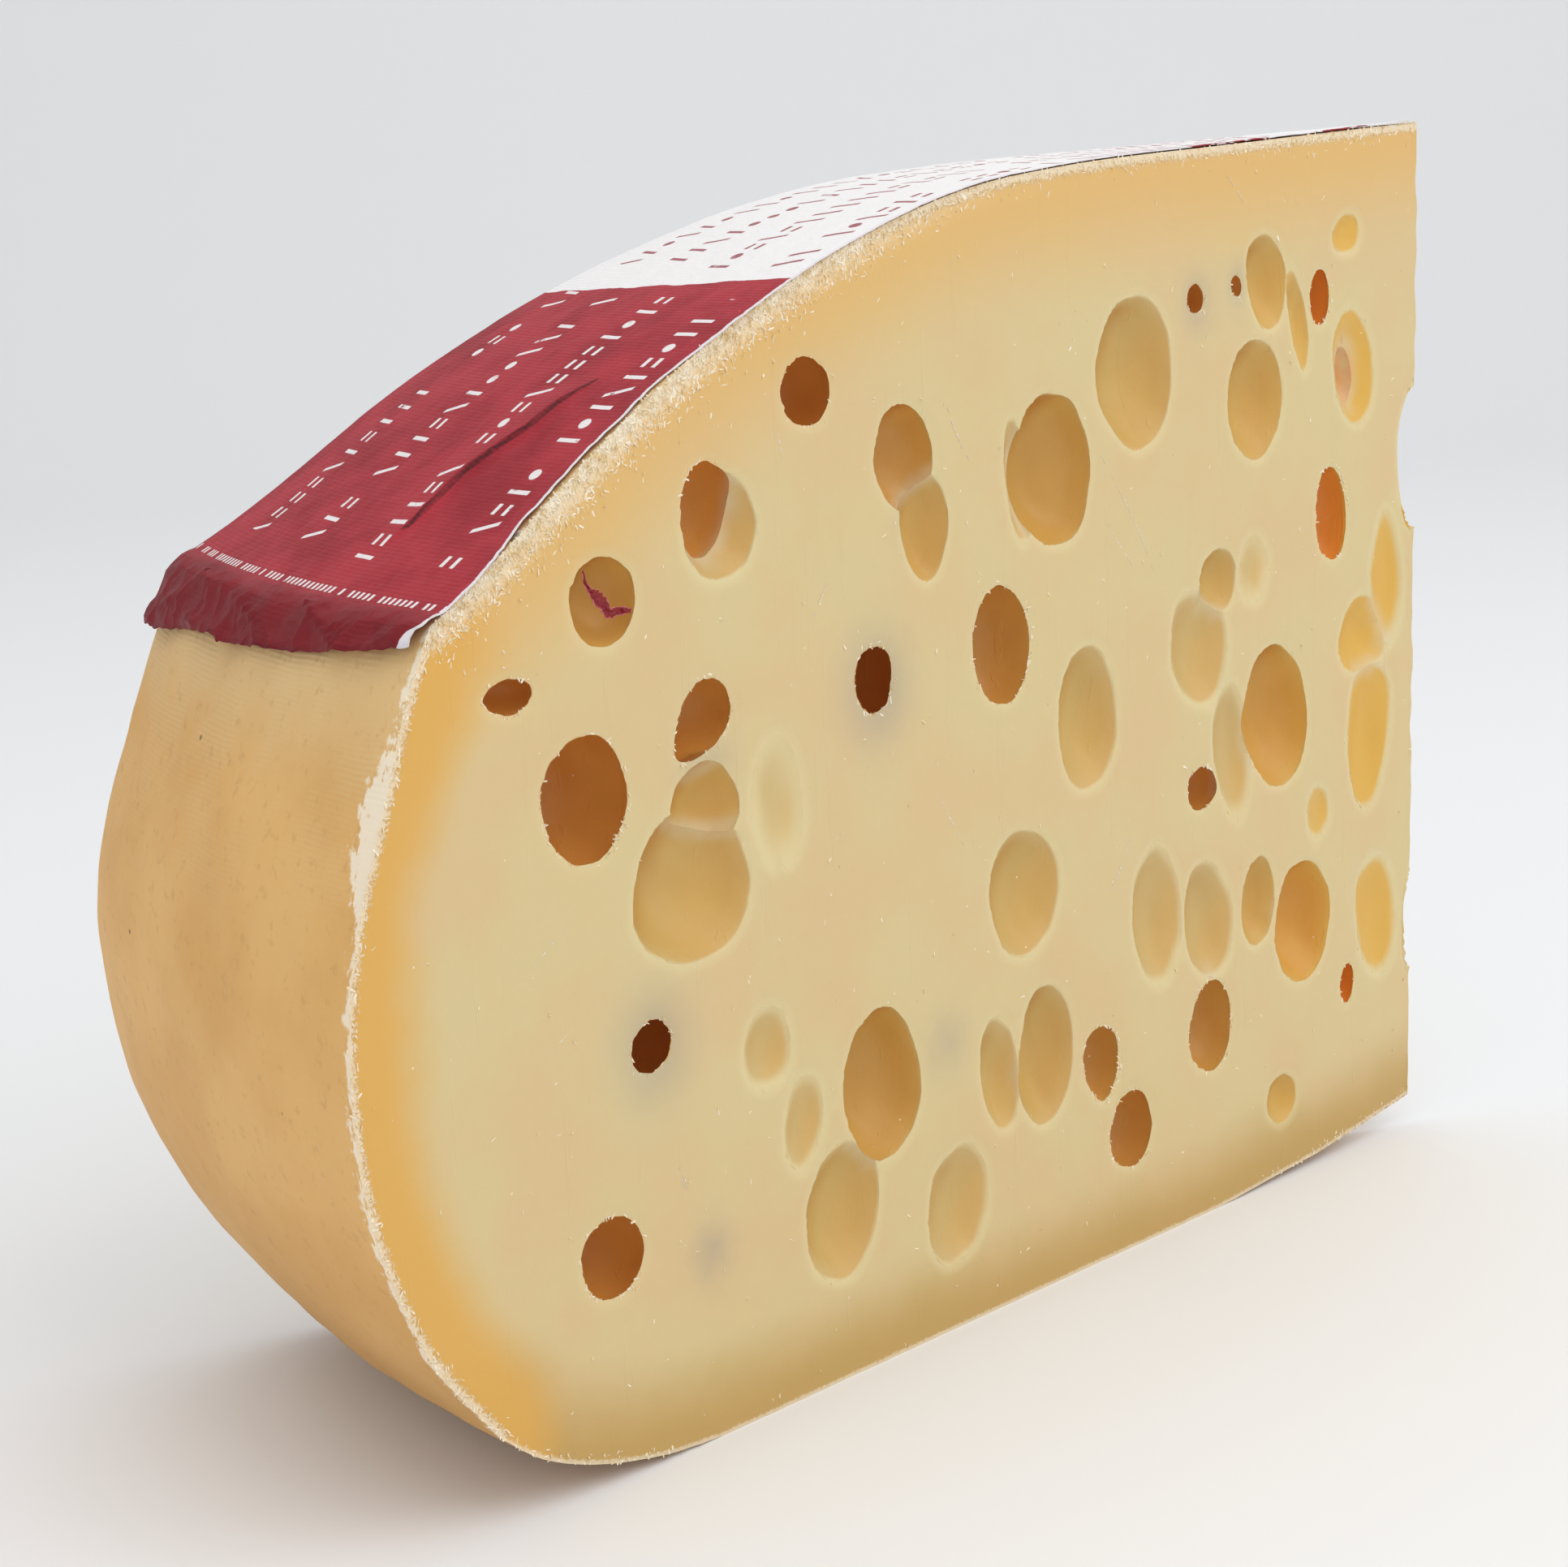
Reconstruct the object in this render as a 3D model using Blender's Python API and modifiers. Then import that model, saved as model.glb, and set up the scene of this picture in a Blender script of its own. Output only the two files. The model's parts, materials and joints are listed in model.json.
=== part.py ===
"""A wedge of emmental, one sixteenth of a domed wheel, with a printed paper over its top.

Run it with Blender's --background and --python options, or from Blender's text editor.
Sizes are in millimetres and become metres through MM. The wheel's axis stands at the wedge's tip.
The near cut face is the plane y = 0 of the wheel, facing -Y, with the rim towards -X.
"""

import math
import random

import bmesh
import bpy
from mathutils import Matrix, Vector

MM = 0.001

# The wheel and how it is cut
WHEEL_RADIUS = 350.0
WEDGE_ANGLE = math.radians(22.5)
TURN_STEPS = 128
TIP_BLUNT = 1.0
KNIFE_REACH = 420.0
KNIFE_HEIGHT = 320.0
KNIFE_DROP = 10.0

# Half the wheel's section, each point as distance from the axis and height
TOP_KNOTS = [(0, 270.6), (75, 267.6), (138, 264.8), (180, 259.3), (225, 245), (266, 224.5), (304, 199), (323, 187.2)]
RIM_KNOTS = [(323, 187.2), (328.5, 179), (338, 154), (346.5, 130), (350, 104), (347, 73), (337, 45), (320, 21)]
BASE_KNOTS = [(320, 21), (309, 12.5), (294, 6), (276, 1.6), (260, 0)]
FLAT_INNER = 85.0
TIP_LIFT = 8.0
KNOT_STEPS = 2

# Eyes of the near cut face: distance from the tip, height, width, height of the mouth, depth
NEAR_EYES = [
    (289, 147, 22, 26, 22), (288, 50, 17, 18, 17), (205, 158, 12, 14, 24), (274, 92, 10, 10, 22),
    (223, 222, 14, 15, 17), (254, 201, 14, 20, 17), (246, 197, 15, 20, 6), (281, 186, 17, 17, 12),
    (306, 171, 12, 7, 10), (257, 157, 17, 14, 16), (260, 122, 32, 29, 11), (257, 142, 19, 20, 14),
    (236, 136, 16, 32, 3), (242, 83, 14, 20, 3), (232, 64, 13, 21, 3), (207, 66, 25, 36, 12),
    (221, 40, 23, 34, 7), (183, 30, 21, 29, 5), (194, 205, 18, 23, 11), (188, 189, 16, 24, 7),
    (145, 197, 26, 36, 13), (157, 196, 9, 29, 4), (164, 159, 19, 28, 15), (115, 217, 28, 36, 9),
    (134, 137, 22, 35, 7), (158, 100, 24, 31, 7), (151, 58, 22, 35, 8), (168, 58, 14, 30, 5),
    (131, 51, 13, 19, 10), (120, 31, 17, 21, 13), (69, 206, 22, 29, 8), (92, 232, 6, 7, 8),
    (76, 234, 4, 5, 5), (64, 234, 17, 24, 6), (51, 224, 8, 25, 3), (42, 229, 9, 14, 7),
    (27, 210, 19, 30, 5), (31, 244, 12, 10, 2), (69, 164, 12, 17, 2), (84, 163, 15, 18, 5),
    (92, 148, 24, 30, 5), (60, 125, 27, 39, 12), (78, 119, 17, 38, 4), (91, 112, 13, 12, 11),
    (37, 174, 15, 24, 8), (12, 154, 15, 37, 2.5), (23, 140, 24, 22, 4), (20, 114, 24, 39, 5),
    (42, 96, 10, 15, 2), (14, 63, 19, 35, 3), (29, 47, 7, 12, 6), (68, 78, 16, 25, 6),
    (49, 69, 25, 34, 11), (109, 83, 19, 38, 5), (88, 78, 21, 31, 5), (88, 50, 18, 24, 12), (58, 22, 13, 15, 4),
]

# Eyes of the far cut face: two that break the tip's edge, then a seeded scatter
TIP_EYES = [(5, 181, 19, 29, 5), (2, 72, 12, 40, 2.2)]
FAR_EYE_COUNT = 30
FAR_EYE_TRIES = 900
FAR_EYE_SEED = 11
FAR_EYE_WIDTH = (9, 27)
FAR_EYE_STRETCH = (1.0, 1.6)
FAR_EYE_DEPTH = (0.25, 0.7)
SMALL_EYE_BIAS = 1.6
DEEPEST_SHARE = 0.4
RIND_MARGIN = 16.0
BASE_MARGIN = 12.0
TIP_MARGIN = 8.0
EYE_WALL = 2.0
EYE_SIDES = 14
EYE_RINGS = 6

# The paper on top, folded over the rim's shoulder
PAPER_GAP = 0.3
PAPER_THICKNESS = 0.5
PAPER_TIP = 5.0
PAPER_INSET = 0.5
PAPER_STEPS = 8
FLAP_NEAR = 6.5
FLAP_FAR = 10.5
FLAP_WAVE = 0.8
FLAP_WAVES = (17, 31)

# The scrap of paper that the knife dragged into an eye, as offsets from that eye's middle
SCRAP_EYE = (281.0, 186.4)
SCRAP_BACK = 1.0
SCRAP_THICKNESS = 0.4
SCRAP_EDGE = [(-5.7, 5.3), (-4.4, 5.6), (-2.9, 1.6), (-0.4, 0.2), (1.6, -1.7), (4.4, -2.5), (7.2, -2.6),
              (6.8, -3.8), (3.9, -3.7), (0.7, -3.2), (-1.2, -1.1), (-3.9, 0.2)]

# Placing the wheel's frame so that the wedge's box stands centred on the origin
CENTRE_X = (WHEEL_RADIUS + TIP_BLUNT) / 2
CENTRE_Y = WHEEL_RADIUS * math.sin(WEDGE_ANGLE) / 2
TO_PART = Matrix.Translation(Vector((CENTRE_X, -CENTRE_Y, 0)) * MM)
TO_FAR_FACE = Matrix.Rotation(-WEDGE_ANGLE, 4, "Z")


def clear_scene():
    for old in list(bpy.data.objects):
        bpy.data.objects.remove(old, do_unlink=True)


def new_collection(name):
    collection = bpy.data.collections.new(name)
    bpy.context.scene.collection.children.link(collection)
    return collection


def material(name, colour, roughness):
    made = bpy.data.materials.new(name)
    made.use_nodes = True
    shader = made.node_tree.nodes["Principled BSDF"]
    shader.inputs["Base Color"].default_value = (*colour, 1)
    shader.inputs["Roughness"].default_value = roughness
    shader.inputs["Metallic"].default_value = 0
    return made


def add_object(name, data, collection, finish=None):
    made = bpy.data.objects.new(name, data)
    collection.objects.link(made)
    if finish:
        data.materials.append(finish)
    return made


def mesh_from(bm, name):
    bmesh.ops.recalc_face_normals(bm, faces=bm.faces)
    mesh = bpy.data.meshes.new(name)
    bm.to_mesh(mesh)
    bm.free()
    return mesh


def smooth_line(knots, steps=KNOT_STEPS):
    """Points on the Catmull-Rom curve through the knots, both ends included."""
    ends = [knots[0], *knots, knots[-1]]
    line = []
    for a, b, c, d in zip(ends, ends[1:], ends[2:], ends[3:]):
        a, b, c, d = (Vector(p) for p in (a, b, c, d))
        for step in range(steps):
            t = step / steps
            line.append(0.5 * (2 * b + (c - a) * t + (2 * a - 5 * b + 4 * c - d) * t ** 2
                               + (3 * b - a - 3 * c + d) * t ** 3))
    return line + [Vector(knots[-1])]


def wheel_section():
    """The turned section, from the middle of the top round the rim to the middle of the base."""
    line = smooth_line(TOP_KNOTS)[:-1] + smooth_line(RIM_KNOTS)[:-1] + smooth_line(BASE_KNOTS)
    return line + [Vector((FLAT_INNER, 0)), Vector((FLAT_INNER / 2, TIP_LIFT / 3)), Vector((0, TIP_LIFT))]


def wheel(collection):
    section = wheel_section()
    mesh = bpy.data.meshes.new("wheel")
    points = [(point.x * MM, 0, point.y * MM) for point in section]
    mesh.from_pydata(points, [(i, i + 1) for i in range(len(points) - 1)], [])
    turned = add_object("paste", mesh, collection, material("paste", (0.78, 0.56, 0.25), 0.5))
    screw = turned.modifiers.new("turn", "SCREW")
    screw.steps = TURN_STEPS
    screw.render_steps = TURN_STEPS
    screw.use_merge_vertices = True
    screw.merge_threshold = 0.00001
    screw.use_smooth_shade = False
    half_step = math.pi / TURN_STEPS
    turned.matrix_world = TO_PART @ Matrix.Rotation(half_step, 4, "Z")
    return turned


def hide_cutter(cutter):
    cutter.display_type = "WIRE"
    cutter.hide_render = True
    return cutter


def knife_block(collection):
    """A tall block whose two long sides are the two cuts and whose short side blunts the tip."""
    corners = [(TIP_BLUNT, 0), (TIP_BLUNT, 1), (KNIFE_REACH, 1), (KNIFE_REACH, 0)]
    bm = bmesh.new()
    floor = []
    for reach, side in corners:
        angle = WEDGE_ANGLE * side
        floor.append(bm.verts.new(Vector((-math.cos(angle), math.sin(angle), 0)) * reach * MM))
    face = bm.faces.new(floor)
    raised = bmesh.ops.extrude_face_region(bm, geom=[face])["geom"]
    top = [item for item in raised if isinstance(item, bmesh.types.BMVert)]
    bmesh.ops.translate(bm, verts=top, vec=(0, 0, KNIFE_HEIGHT * MM))
    bmesh.ops.translate(bm, verts=bm.verts, vec=(0, 0, -KNIFE_DROP * MM))
    block = add_object("knife_block", mesh_from(bm, "knife_block"), collection)
    block.matrix_world = TO_PART
    return hide_cutter(block)


def eye_ball(eye, face, outward, index, collection):
    """The ball whose cap under the cut face has the eye's mouth and depth."""
    from_tip, height, wide, tall, deep = eye
    mouth = math.sqrt(wide * tall) / 2
    radius = (mouth ** 2 + deep ** 2) / (2 * deep)
    bm = bmesh.new()
    bmesh.ops.create_uvsphere(bm, u_segments=EYE_SIDES, v_segments=EYE_RINGS, radius=radius * MM)
    bmesh.ops.rotate(bm, verts=bm.verts, matrix=Matrix.Rotation(math.pi / 2, 3, "X"))
    bmesh.ops.scale(bm, verts=bm.verts, vec=(wide / (2 * mouth), 1, tall / (2 * mouth)))
    ball = add_object(f"eye_{index:02d}", mesh_from(bm, "eye"), collection)
    centre = Vector((-from_tip, outward * (radius - deep), height)) * MM
    ball.matrix_world = TO_PART @ face @ Matrix.Translation(centre)
    return hide_cutter(ball)


def thickness_at(from_tip):
    return from_tip * math.tan(WEDGE_ANGLE)


def inside_face(from_tip, height, reach):
    """True where a mouth of that reach stays on the cut face, clear of rind and paper."""
    widest = max(point.x for point in wheel_section() if abs(point.y - height) < RIND_MARGIN)
    roof = min(point.y for point in smooth_line(TOP_KNOTS) if point.x < from_tip + reach)
    across = reach + TIP_MARGIN < from_tip < widest - reach - RIND_MARGIN
    return across and reach + BASE_MARGIN < height < roof - reach - RIND_MARGIN


def apart(eye, others):
    """True where the eye's mouth keeps clear of the mouths already placed on its face."""
    for other in others:
        stretch = (eye[3] + other[3]) / (eye[2] + other[2])
        distance = math.hypot(eye[0] - other[0], (eye[1] - other[1]) / stretch)
        if distance < (eye[2] + other[2]) / 2 + EYE_WALL:
            return False
    return True


def far_eyes():
    """Eyes scattered over the hidden cut face, as uneven as those of the near one."""
    draw = random.Random(FAR_EYE_SEED)
    placed = list(TIP_EYES)
    for _ in range(FAR_EYE_TRIES):
        wide = FAR_EYE_WIDTH[0] + (FAR_EYE_WIDTH[1] - FAR_EYE_WIDTH[0]) * draw.random() ** SMALL_EYE_BIAS
        tall = wide * draw.uniform(*FAR_EYE_STRETCH)
        from_tip = draw.uniform(0, WHEEL_RADIUS)
        height = draw.uniform(0, TOP_KNOTS[0][1])
        deep = min(wide * draw.uniform(*FAR_EYE_DEPTH), thickness_at(from_tip) * DEEPEST_SHARE)
        eye = (from_tip, height, wide, tall, deep)
        if inside_face(from_tip, height, tall / 2) and apart(eye, placed):
            placed.append(eye)
        if len(placed) == FAR_EYE_COUNT + len(TIP_EYES):
            break
    return placed


def cut(target, operand, operation, is_collection=False):
    boolean = target.modifiers.new(operation.lower(), "BOOLEAN")
    boolean.operation = operation
    boolean.solver = "EXACT"
    if is_collection:
        boolean.operand_type = "COLLECTION"
        boolean.collection = operand
    else:
        boolean.object = operand


def flap_length(share):
    """How far the paper hangs over the rim, from the near cut (0) to the far cut (1)."""
    waves = sum(math.sin(share * wave) for wave in FLAP_WAVES)
    return FLAP_NEAR + (FLAP_FAR - FLAP_NEAR) * share + FLAP_WAVE * waves


def walk(line, length):
    """The point at that length along a line of points."""
    for start, end in zip(line, line[1:]):
        step = (end - start).length
        if length <= step:
            return start.lerp(end, length / step)
        length -= step
    return line[-1]


def paper_line(share):
    """The paper's section at one angle, from the tip over the top and down to the flap's end."""
    top = [point for point in smooth_line(TOP_KNOTS) if point.x > PAPER_TIP]
    top.insert(0, Vector((PAPER_TIP, TOP_KNOTS[0][1])))
    rim = smooth_line(RIM_KNOTS)
    reach = flap_length(share)
    flap = [walk(rim, reach * part) for part in (0.25, 0.5, 0.75, 1)]
    return top + flap


def paper(collection):
    bm = bmesh.new()
    rows = len(paper_line(0))
    bmesh.ops.create_grid(bm, x_segments=PAPER_STEPS, y_segments=rows - 1, size=1)
    for vert in bm.verts:
        share = (vert.co.x + 1) / 2
        row = round((vert.co.y + 1) / 2 * (rows - 1))
        line = paper_line(share)
        point = line[row]
        before = line[max(row - 1, 0)]
        after = line[min(row + 1, rows - 1)]
        along = (after - before).normalized()
        lifted = point + Vector((-along.y, along.x)) * PAPER_GAP
        inset = PAPER_INSET / lifted.x
        angle = inset + (WEDGE_ANGLE - 2 * inset) * share
        vert.co = Vector((-math.cos(angle) * lifted.x, math.sin(angle) * lifted.x, lifted.y)) * MM
    mesh = mesh_from(bm, "label")
    label = add_object("label", mesh, collection, material("label", (0.42, 0.02, 0.045), 0.6))
    label.matrix_world = TO_PART
    solidify = label.modifiers.new("thickness", "SOLIDIFY")
    solidify.thickness = PAPER_THICKNESS * MM
    solidify.offset = 1 if mesh.polygons[0].normal.z > 0 else -1
    return label


def scrap(collection):
    """The torn strip, a flat outline standing just inside the mouth of its eye."""
    outline = bpy.data.curves.new("label_scrap", "CURVE")
    outline.dimensions = "2D"
    outline.fill_mode = "BOTH"
    outline.extrude = SCRAP_THICKNESS / 2 * MM
    spline = outline.splines.new("POLY")
    spline.points.add(len(SCRAP_EDGE) - 1)
    spline.use_cyclic_u = True
    for point, (across, up) in zip(spline.points, SCRAP_EDGE):
        point.co = (across * MM, up * MM, 0, 1)
    strip = add_object("label_scrap", outline, collection, material("label_scrap", (0.33, 0.012, 0.03), 0.6))
    from_tip, height = SCRAP_EYE
    place = Matrix.Translation(Vector((-from_tip, SCRAP_BACK, height)) * MM)
    strip.matrix_world = TO_PART @ place @ Matrix.Rotation(math.pi / 2, 4, "X")
    return strip


def build():
    clear_scene()
    emmental = new_collection("emmental")
    blocks = new_collection("knife")
    eyes = new_collection("eyes")
    paste = wheel(emmental)
    cut(paste, knife_block(blocks), "INTERSECT")
    for index, eye in enumerate(NEAR_EYES):
        eye_ball(eye, Matrix.Identity(4), -1, index, eyes)
    for index, eye in enumerate(far_eyes(), start=len(NEAR_EYES)):
        eye_ball(eye, TO_FAR_FACE, 1, index, eyes)
    cut(paste, eyes, "DIFFERENCE", is_collection=True)
    paper(emmental)
    scrap(emmental)
    bpy.context.view_layer.update()


build()
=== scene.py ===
# %% [markdown]
# A wedge of emmental on its base, with the printed paper of the wheel still on top.
# The solids of the frame give the true size and place. This script gives each of them its
# looks: a cheese whose eyes have soft lips and uneven walls, a rind with the print of its
# cloth, a creased paper and the scrap that the knife dragged into one eye.

# %% Load the fixed frame
import json
import math
import random

import bmesh
import bpy
import numpy as np
from mathutils import Matrix, Vector, kdtree, noise
from mathutils.geometry import delaunay_2d_cdt

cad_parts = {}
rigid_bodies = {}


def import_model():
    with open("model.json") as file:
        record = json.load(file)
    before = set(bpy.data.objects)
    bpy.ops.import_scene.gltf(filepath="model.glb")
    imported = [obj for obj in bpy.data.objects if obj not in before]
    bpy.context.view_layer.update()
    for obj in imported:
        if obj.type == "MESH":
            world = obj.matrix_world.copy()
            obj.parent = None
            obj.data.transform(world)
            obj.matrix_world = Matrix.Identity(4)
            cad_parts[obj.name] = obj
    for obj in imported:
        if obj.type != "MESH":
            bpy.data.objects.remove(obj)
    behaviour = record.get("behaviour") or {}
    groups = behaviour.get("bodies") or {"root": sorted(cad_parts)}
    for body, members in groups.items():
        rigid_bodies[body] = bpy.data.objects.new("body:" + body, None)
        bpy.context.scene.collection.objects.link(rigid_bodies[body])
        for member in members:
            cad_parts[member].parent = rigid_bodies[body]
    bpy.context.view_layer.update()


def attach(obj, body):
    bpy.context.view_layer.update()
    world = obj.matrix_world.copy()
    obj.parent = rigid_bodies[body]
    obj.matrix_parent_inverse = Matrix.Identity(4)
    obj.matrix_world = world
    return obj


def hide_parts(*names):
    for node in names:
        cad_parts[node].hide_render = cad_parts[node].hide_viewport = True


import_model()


def new_mesh(name, vertices, faces):
    """A mesh of that name from points in metres."""
    made = bpy.data.meshes.new(name)
    made.from_pydata(vertices, [], faces)
    return made


def in_scene(name, data):
    """An object of that name in the scene."""
    made = bpy.data.objects.new(name, data)
    bpy.context.scene.collection.objects.link(made)
    return made


# %% [markdown]
# The wheel is a body of revolution, so every place on the wedge has three plain numbers:
# its distance from the wheel's axis, its angle from the near cut, and its height. One
# function turns them into the frame's metres, and everything below is placed with it.

# %% Sizes of the wheel in millimetres, and the way from them to the frame
MM = 0.001
WHEEL_RADIUS = 350.0
WEDGE_ANGLE = math.radians(22.5)
TIP_BLUNT = 1.0
CENTRE_X = (WHEEL_RADIUS + TIP_BLUNT) / 2
CENTRE_Y = WHEEL_RADIUS * math.sin(WEDGE_ANGLE) / 2
NEAR_WAY = np.array((-1.0, 0.0))
FAR_WAY = np.array((-math.cos(WEDGE_ANGLE), math.sin(WEDGE_ANGLE)))


def place(reach, angle, height):
    """A point of the wheel, as distance from the axis, angle from the near cut and height."""
    x = CENTRE_X - np.cos(angle) * reach
    y = np.sin(angle) * reach - CENTRE_Y
    return np.stack(np.broadcast_arrays(x, y, height), -1) * MM


# %% [markdown]
# The section of the wheel is domed on top, bulges at the rim and is flat below. A few knots
# with a Catmull-Rom curve through them give it, and resampling sets how fine the mesh is.

# %% The wheel's section
TOP_KNOTS = [(0, 270.6), (75, 267.6), (138, 264.8), (180, 259.3), (225, 245), (266, 224.5),
             (304, 199), (323, 187.2)]
RIM_KNOTS = [(323, 187.2), (328.5, 179), (338, 154), (346.5, 130), (350, 104), (347, 73),
             (337, 45), (320, 21)]
BASE_KNOTS = [(320, 21), (309, 12.5), (294, 6), (276, 1.6), (260, 0)]
FLAT_KNOTS = [(260, 0), (85, 0)]
LIFT_KNOTS = [(85, 0), (42, 2.7), (0, 8)]


def smooth_line(knots, steps=24):
    """Points on the Catmull-Rom curve through the knots, both ends included."""
    ends = np.array([knots[0], *knots, knots[-1]], float)
    line = []
    for a, b, c, d in zip(ends, ends[1:], ends[2:], ends[3:]):
        for t in np.arange(steps) / steps:
            line.append(0.5 * (2 * b + (c - a) * t + (2 * a - 5 * b + 4 * c - d) * t ** 2
                               + (3 * b - a - 3 * c + d) * t ** 3))
    return np.array([*line, ends[-1]])


def resample(line, spacing):
    """The same line with its points spread evenly, about that far apart."""
    steps = np.linalg.norm(np.diff(line, axis=0), axis=1)
    along = np.concatenate([[0], np.cumsum(steps)])
    count = max(2, round(along[-1] / spacing) + 1)
    wanted = np.linspace(0, along[-1], count)
    return np.stack([np.interp(wanted, along, line[:, side]) for side in (0, 1)], -1)


def section_line():
    """The section from the middle of the top, round the rim, to the middle of the base."""
    pieces = [(smooth_line(TOP_KNOTS), 2.5), (smooth_line(RIM_KNOTS), 1.8),
              (smooth_line(BASE_KNOTS), 2.2), (np.array(FLAT_KNOTS, float), 4.0),
              (np.array(LIFT_KNOTS, float), 3.0)]
    parts = [resample(line, spacing) for line, spacing in pieces]
    return np.concatenate([part[:-1] for part in parts] + [parts[-1][-1:]])


section = section_line()
tip_edge = resample(np.array([section[-1], section[0]]), 2.5)[1:-1]
outline = np.concatenate([section, tip_edge])
print("points round a cut face:", len(outline))

# %% [markdown]
# Eyes are gas bubbles, so each starts as a ball. The width and height of its mouth and its
# depth below the cut fix that ball: a shallow dish is a small cap of a big ball, and a deep
# eye is most of a small one. Lean turns the mouth, and egg narrows its upper end.

# %% The eyes: distance from the tip, height, width, mouth height, depth, lean and egg
NEAR_EYES = [
    (289, 147, 22, 26, 22, 0, 0.0), (288, 50, 17, 18, 17, 0, 0.1), (205, 158, 12, 14, 24, 0, 0.0),
    (274, 92, 10, 10, 22, 0, 0.0), (223, 222, 14, 15, 17, 0, 0.0), (252, 201, 15, 19, 15, -4, 0.0),
    (249, 197, 20, 23, 6, 4, 0.0), (281, 186, 17, 18, 9, 4, 0.0), (306, 171, 12, 7, 10, 0, 0.0),
    (257, 157, 13, 19, 14, -44, -0.3), (261, 124, 33, 33, 10, 3, 0.1), (256.5, 139, 19, 20, 8, 4, 0.0),
    (236, 136, 16, 32, 3, 0, 0.0), (242, 83, 14, 20, 3, 0, 0.0), (232, 64, 12, 21, 3, -10, 0.0),
    (207, 66, 25, 36, 13, 4, 0.1), (221, 40, 23, 34, 7, -8, 0.0), (183, 30, 21, 28, 5, -6, 0.0),
    (194, 205, 18, 23, 11, 8, 0.0), (188, 189, 15, 25, 7, 4, -0.2), (145, 197, 26, 36, 13, 5, 0.0),
    (157, 196, 9, 29, 4, 8, 0.0), (164, 159, 19, 28, 15, 4, 0.0), (115, 217, 28, 36, 9, 7, 0.0),
    (134, 137, 22, 35, 7, 0, 0.0), (158, 100, 24, 31, 7, 3, 0.0), (151, 58, 20, 35, 8, -3, 0.0),
    (168, 58, 13, 30, 5, 8, 0.0), (131, 51, 13, 19, 10, 5, -0.2), (120, 31, 16, 20, 13, 0, 0.0),
    (69, 206, 22, 29, 8, 3, 0.0), (92, 232, 6, 7, 8, 8, 0.0), (76, 234, 4, 5, 5, 20, 0.0),
    (64, 234, 16, 24, 6, 12, -0.1), (51, 224, 7, 26, 3, 14, 0.0), (42, 229, 8, 14, 8, 0, 0.0),
    (27, 210, 18, 30, 4, 8, 0.0), (29, 209, 9, 17, 6, 8, 0.0), (31, 244, 12, 10, 2, 10, 0.0),
             (69, 164, 12, 17, 2, 10, 0.0),
    (84, 163, 15, 17, 5, 0, 0.0), (92, 148, 22, 30, 5, 10, 0.0), (60, 125, 26, 38, 12, 8, 0.0),
    (78, 119, 15, 37, 4, 8, 0.0), (91, 112, 12, 11, 11, 0, 0.0), (37, 174, 13, 24, 10, 5, 0.1),
    (12, 154, 13, 36, 2.2, 6, 0.0), (23, 141, 23, 21, 4, 12, 0.2), (20, 114, 21, 39, 4.2, 2, -0.2),
    (42, 96, 10, 14, 2, 0, 0.0), (14, 63, 19, 34, 3, 5, 0.0), (29, 47, 6, 11, 6, -4, 0.0),
    (68, 78, 14, 24, 6, -6, 0.0), (49, 69, 24, 33, 11, 0, 0.0), (109, 83, 19, 38, 5, 3, 0.0),
    (88, 78, 20, 31, 5, 6, 0.0), (88, 50, 17, 24, 12, -4, 0.1), (58, 22, 13, 14, 4, 0, 0.0),
]
TIP_EYES = [(5, 181, 19, 29, 5, 0, 0.0), (2, 72, 12, 40, 2.2, 0, 0.0)]
TIP_NOTCHES = [(1, 186, 17, 37, 4.6, 0, -0.1), (0, 60, 8, 24, 1.2, 0, 0.0)]
FAR_EYE_COUNT = 30
FAR_EYE_TRIES = 900
FAR_EYE_SEED = 11
FAR_EYE_WIDTH = (9, 27)
FAR_EYE_STRETCH = (1.0, 1.6)
FAR_EYE_DEPTH = (0.25, 0.7)
SMALL_EYE_BIAS = 1.6
DEEPEST_SHARE = 0.4
RIND_MARGIN = 16.0
BASE_MARGIN = 12.0
TIP_MARGIN = 8.0
EYE_WALL = 2.0


def inside_face(from_tip, height, reach):
    """True where a mouth of that reach stays on the cut face, clear of rind and paper."""
    widest = section[np.abs(section[:, 1] - height) < RIND_MARGIN][:, 0].max()
    roof = np.interp(from_tip + reach, *smooth_line(TOP_KNOTS).T)
    across = reach + TIP_MARGIN < from_tip < widest - reach - RIND_MARGIN
    return across and reach + BASE_MARGIN < height < roof - reach - RIND_MARGIN


def apart(eye, others):
    """True where the eye's mouth keeps clear of the mouths already placed on its face."""
    for other in others:
        stretch = (eye[3] + other[3]) / (eye[2] + other[2])
        distance = math.hypot(eye[0] - other[0], (eye[1] - other[1]) / stretch)
        if distance < (eye[2] + other[2]) / 2 + EYE_WALL:
            return False
    return True


def far_eyes():
    """Eyes scattered over the hidden cut face, as uneven as those of the near one."""
    draw = random.Random(FAR_EYE_SEED)
    placed = list(TIP_EYES)
    for _ in range(FAR_EYE_TRIES):
        wide = FAR_EYE_WIDTH[0] + (FAR_EYE_WIDTH[1] - FAR_EYE_WIDTH[0]) * draw.random() ** SMALL_EYE_BIAS
        tall = wide * draw.uniform(*FAR_EYE_STRETCH)
        from_tip = draw.uniform(0, WHEEL_RADIUS)
        height = draw.uniform(0, TOP_KNOTS[0][1])
        thick = from_tip * math.tan(WEDGE_ANGLE)
        deep = min(wide * draw.uniform(*FAR_EYE_DEPTH), thick * DEEPEST_SHARE)
        eye = (from_tip, height, wide, tall, deep, 0, 0.0)
        if inside_face(from_tip, height, tall / 2) and apart(eye, placed):
            placed.append(eye)
        if len(placed) == FAR_EYE_COUNT + len(TIP_EYES):
            break
    return placed


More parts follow.
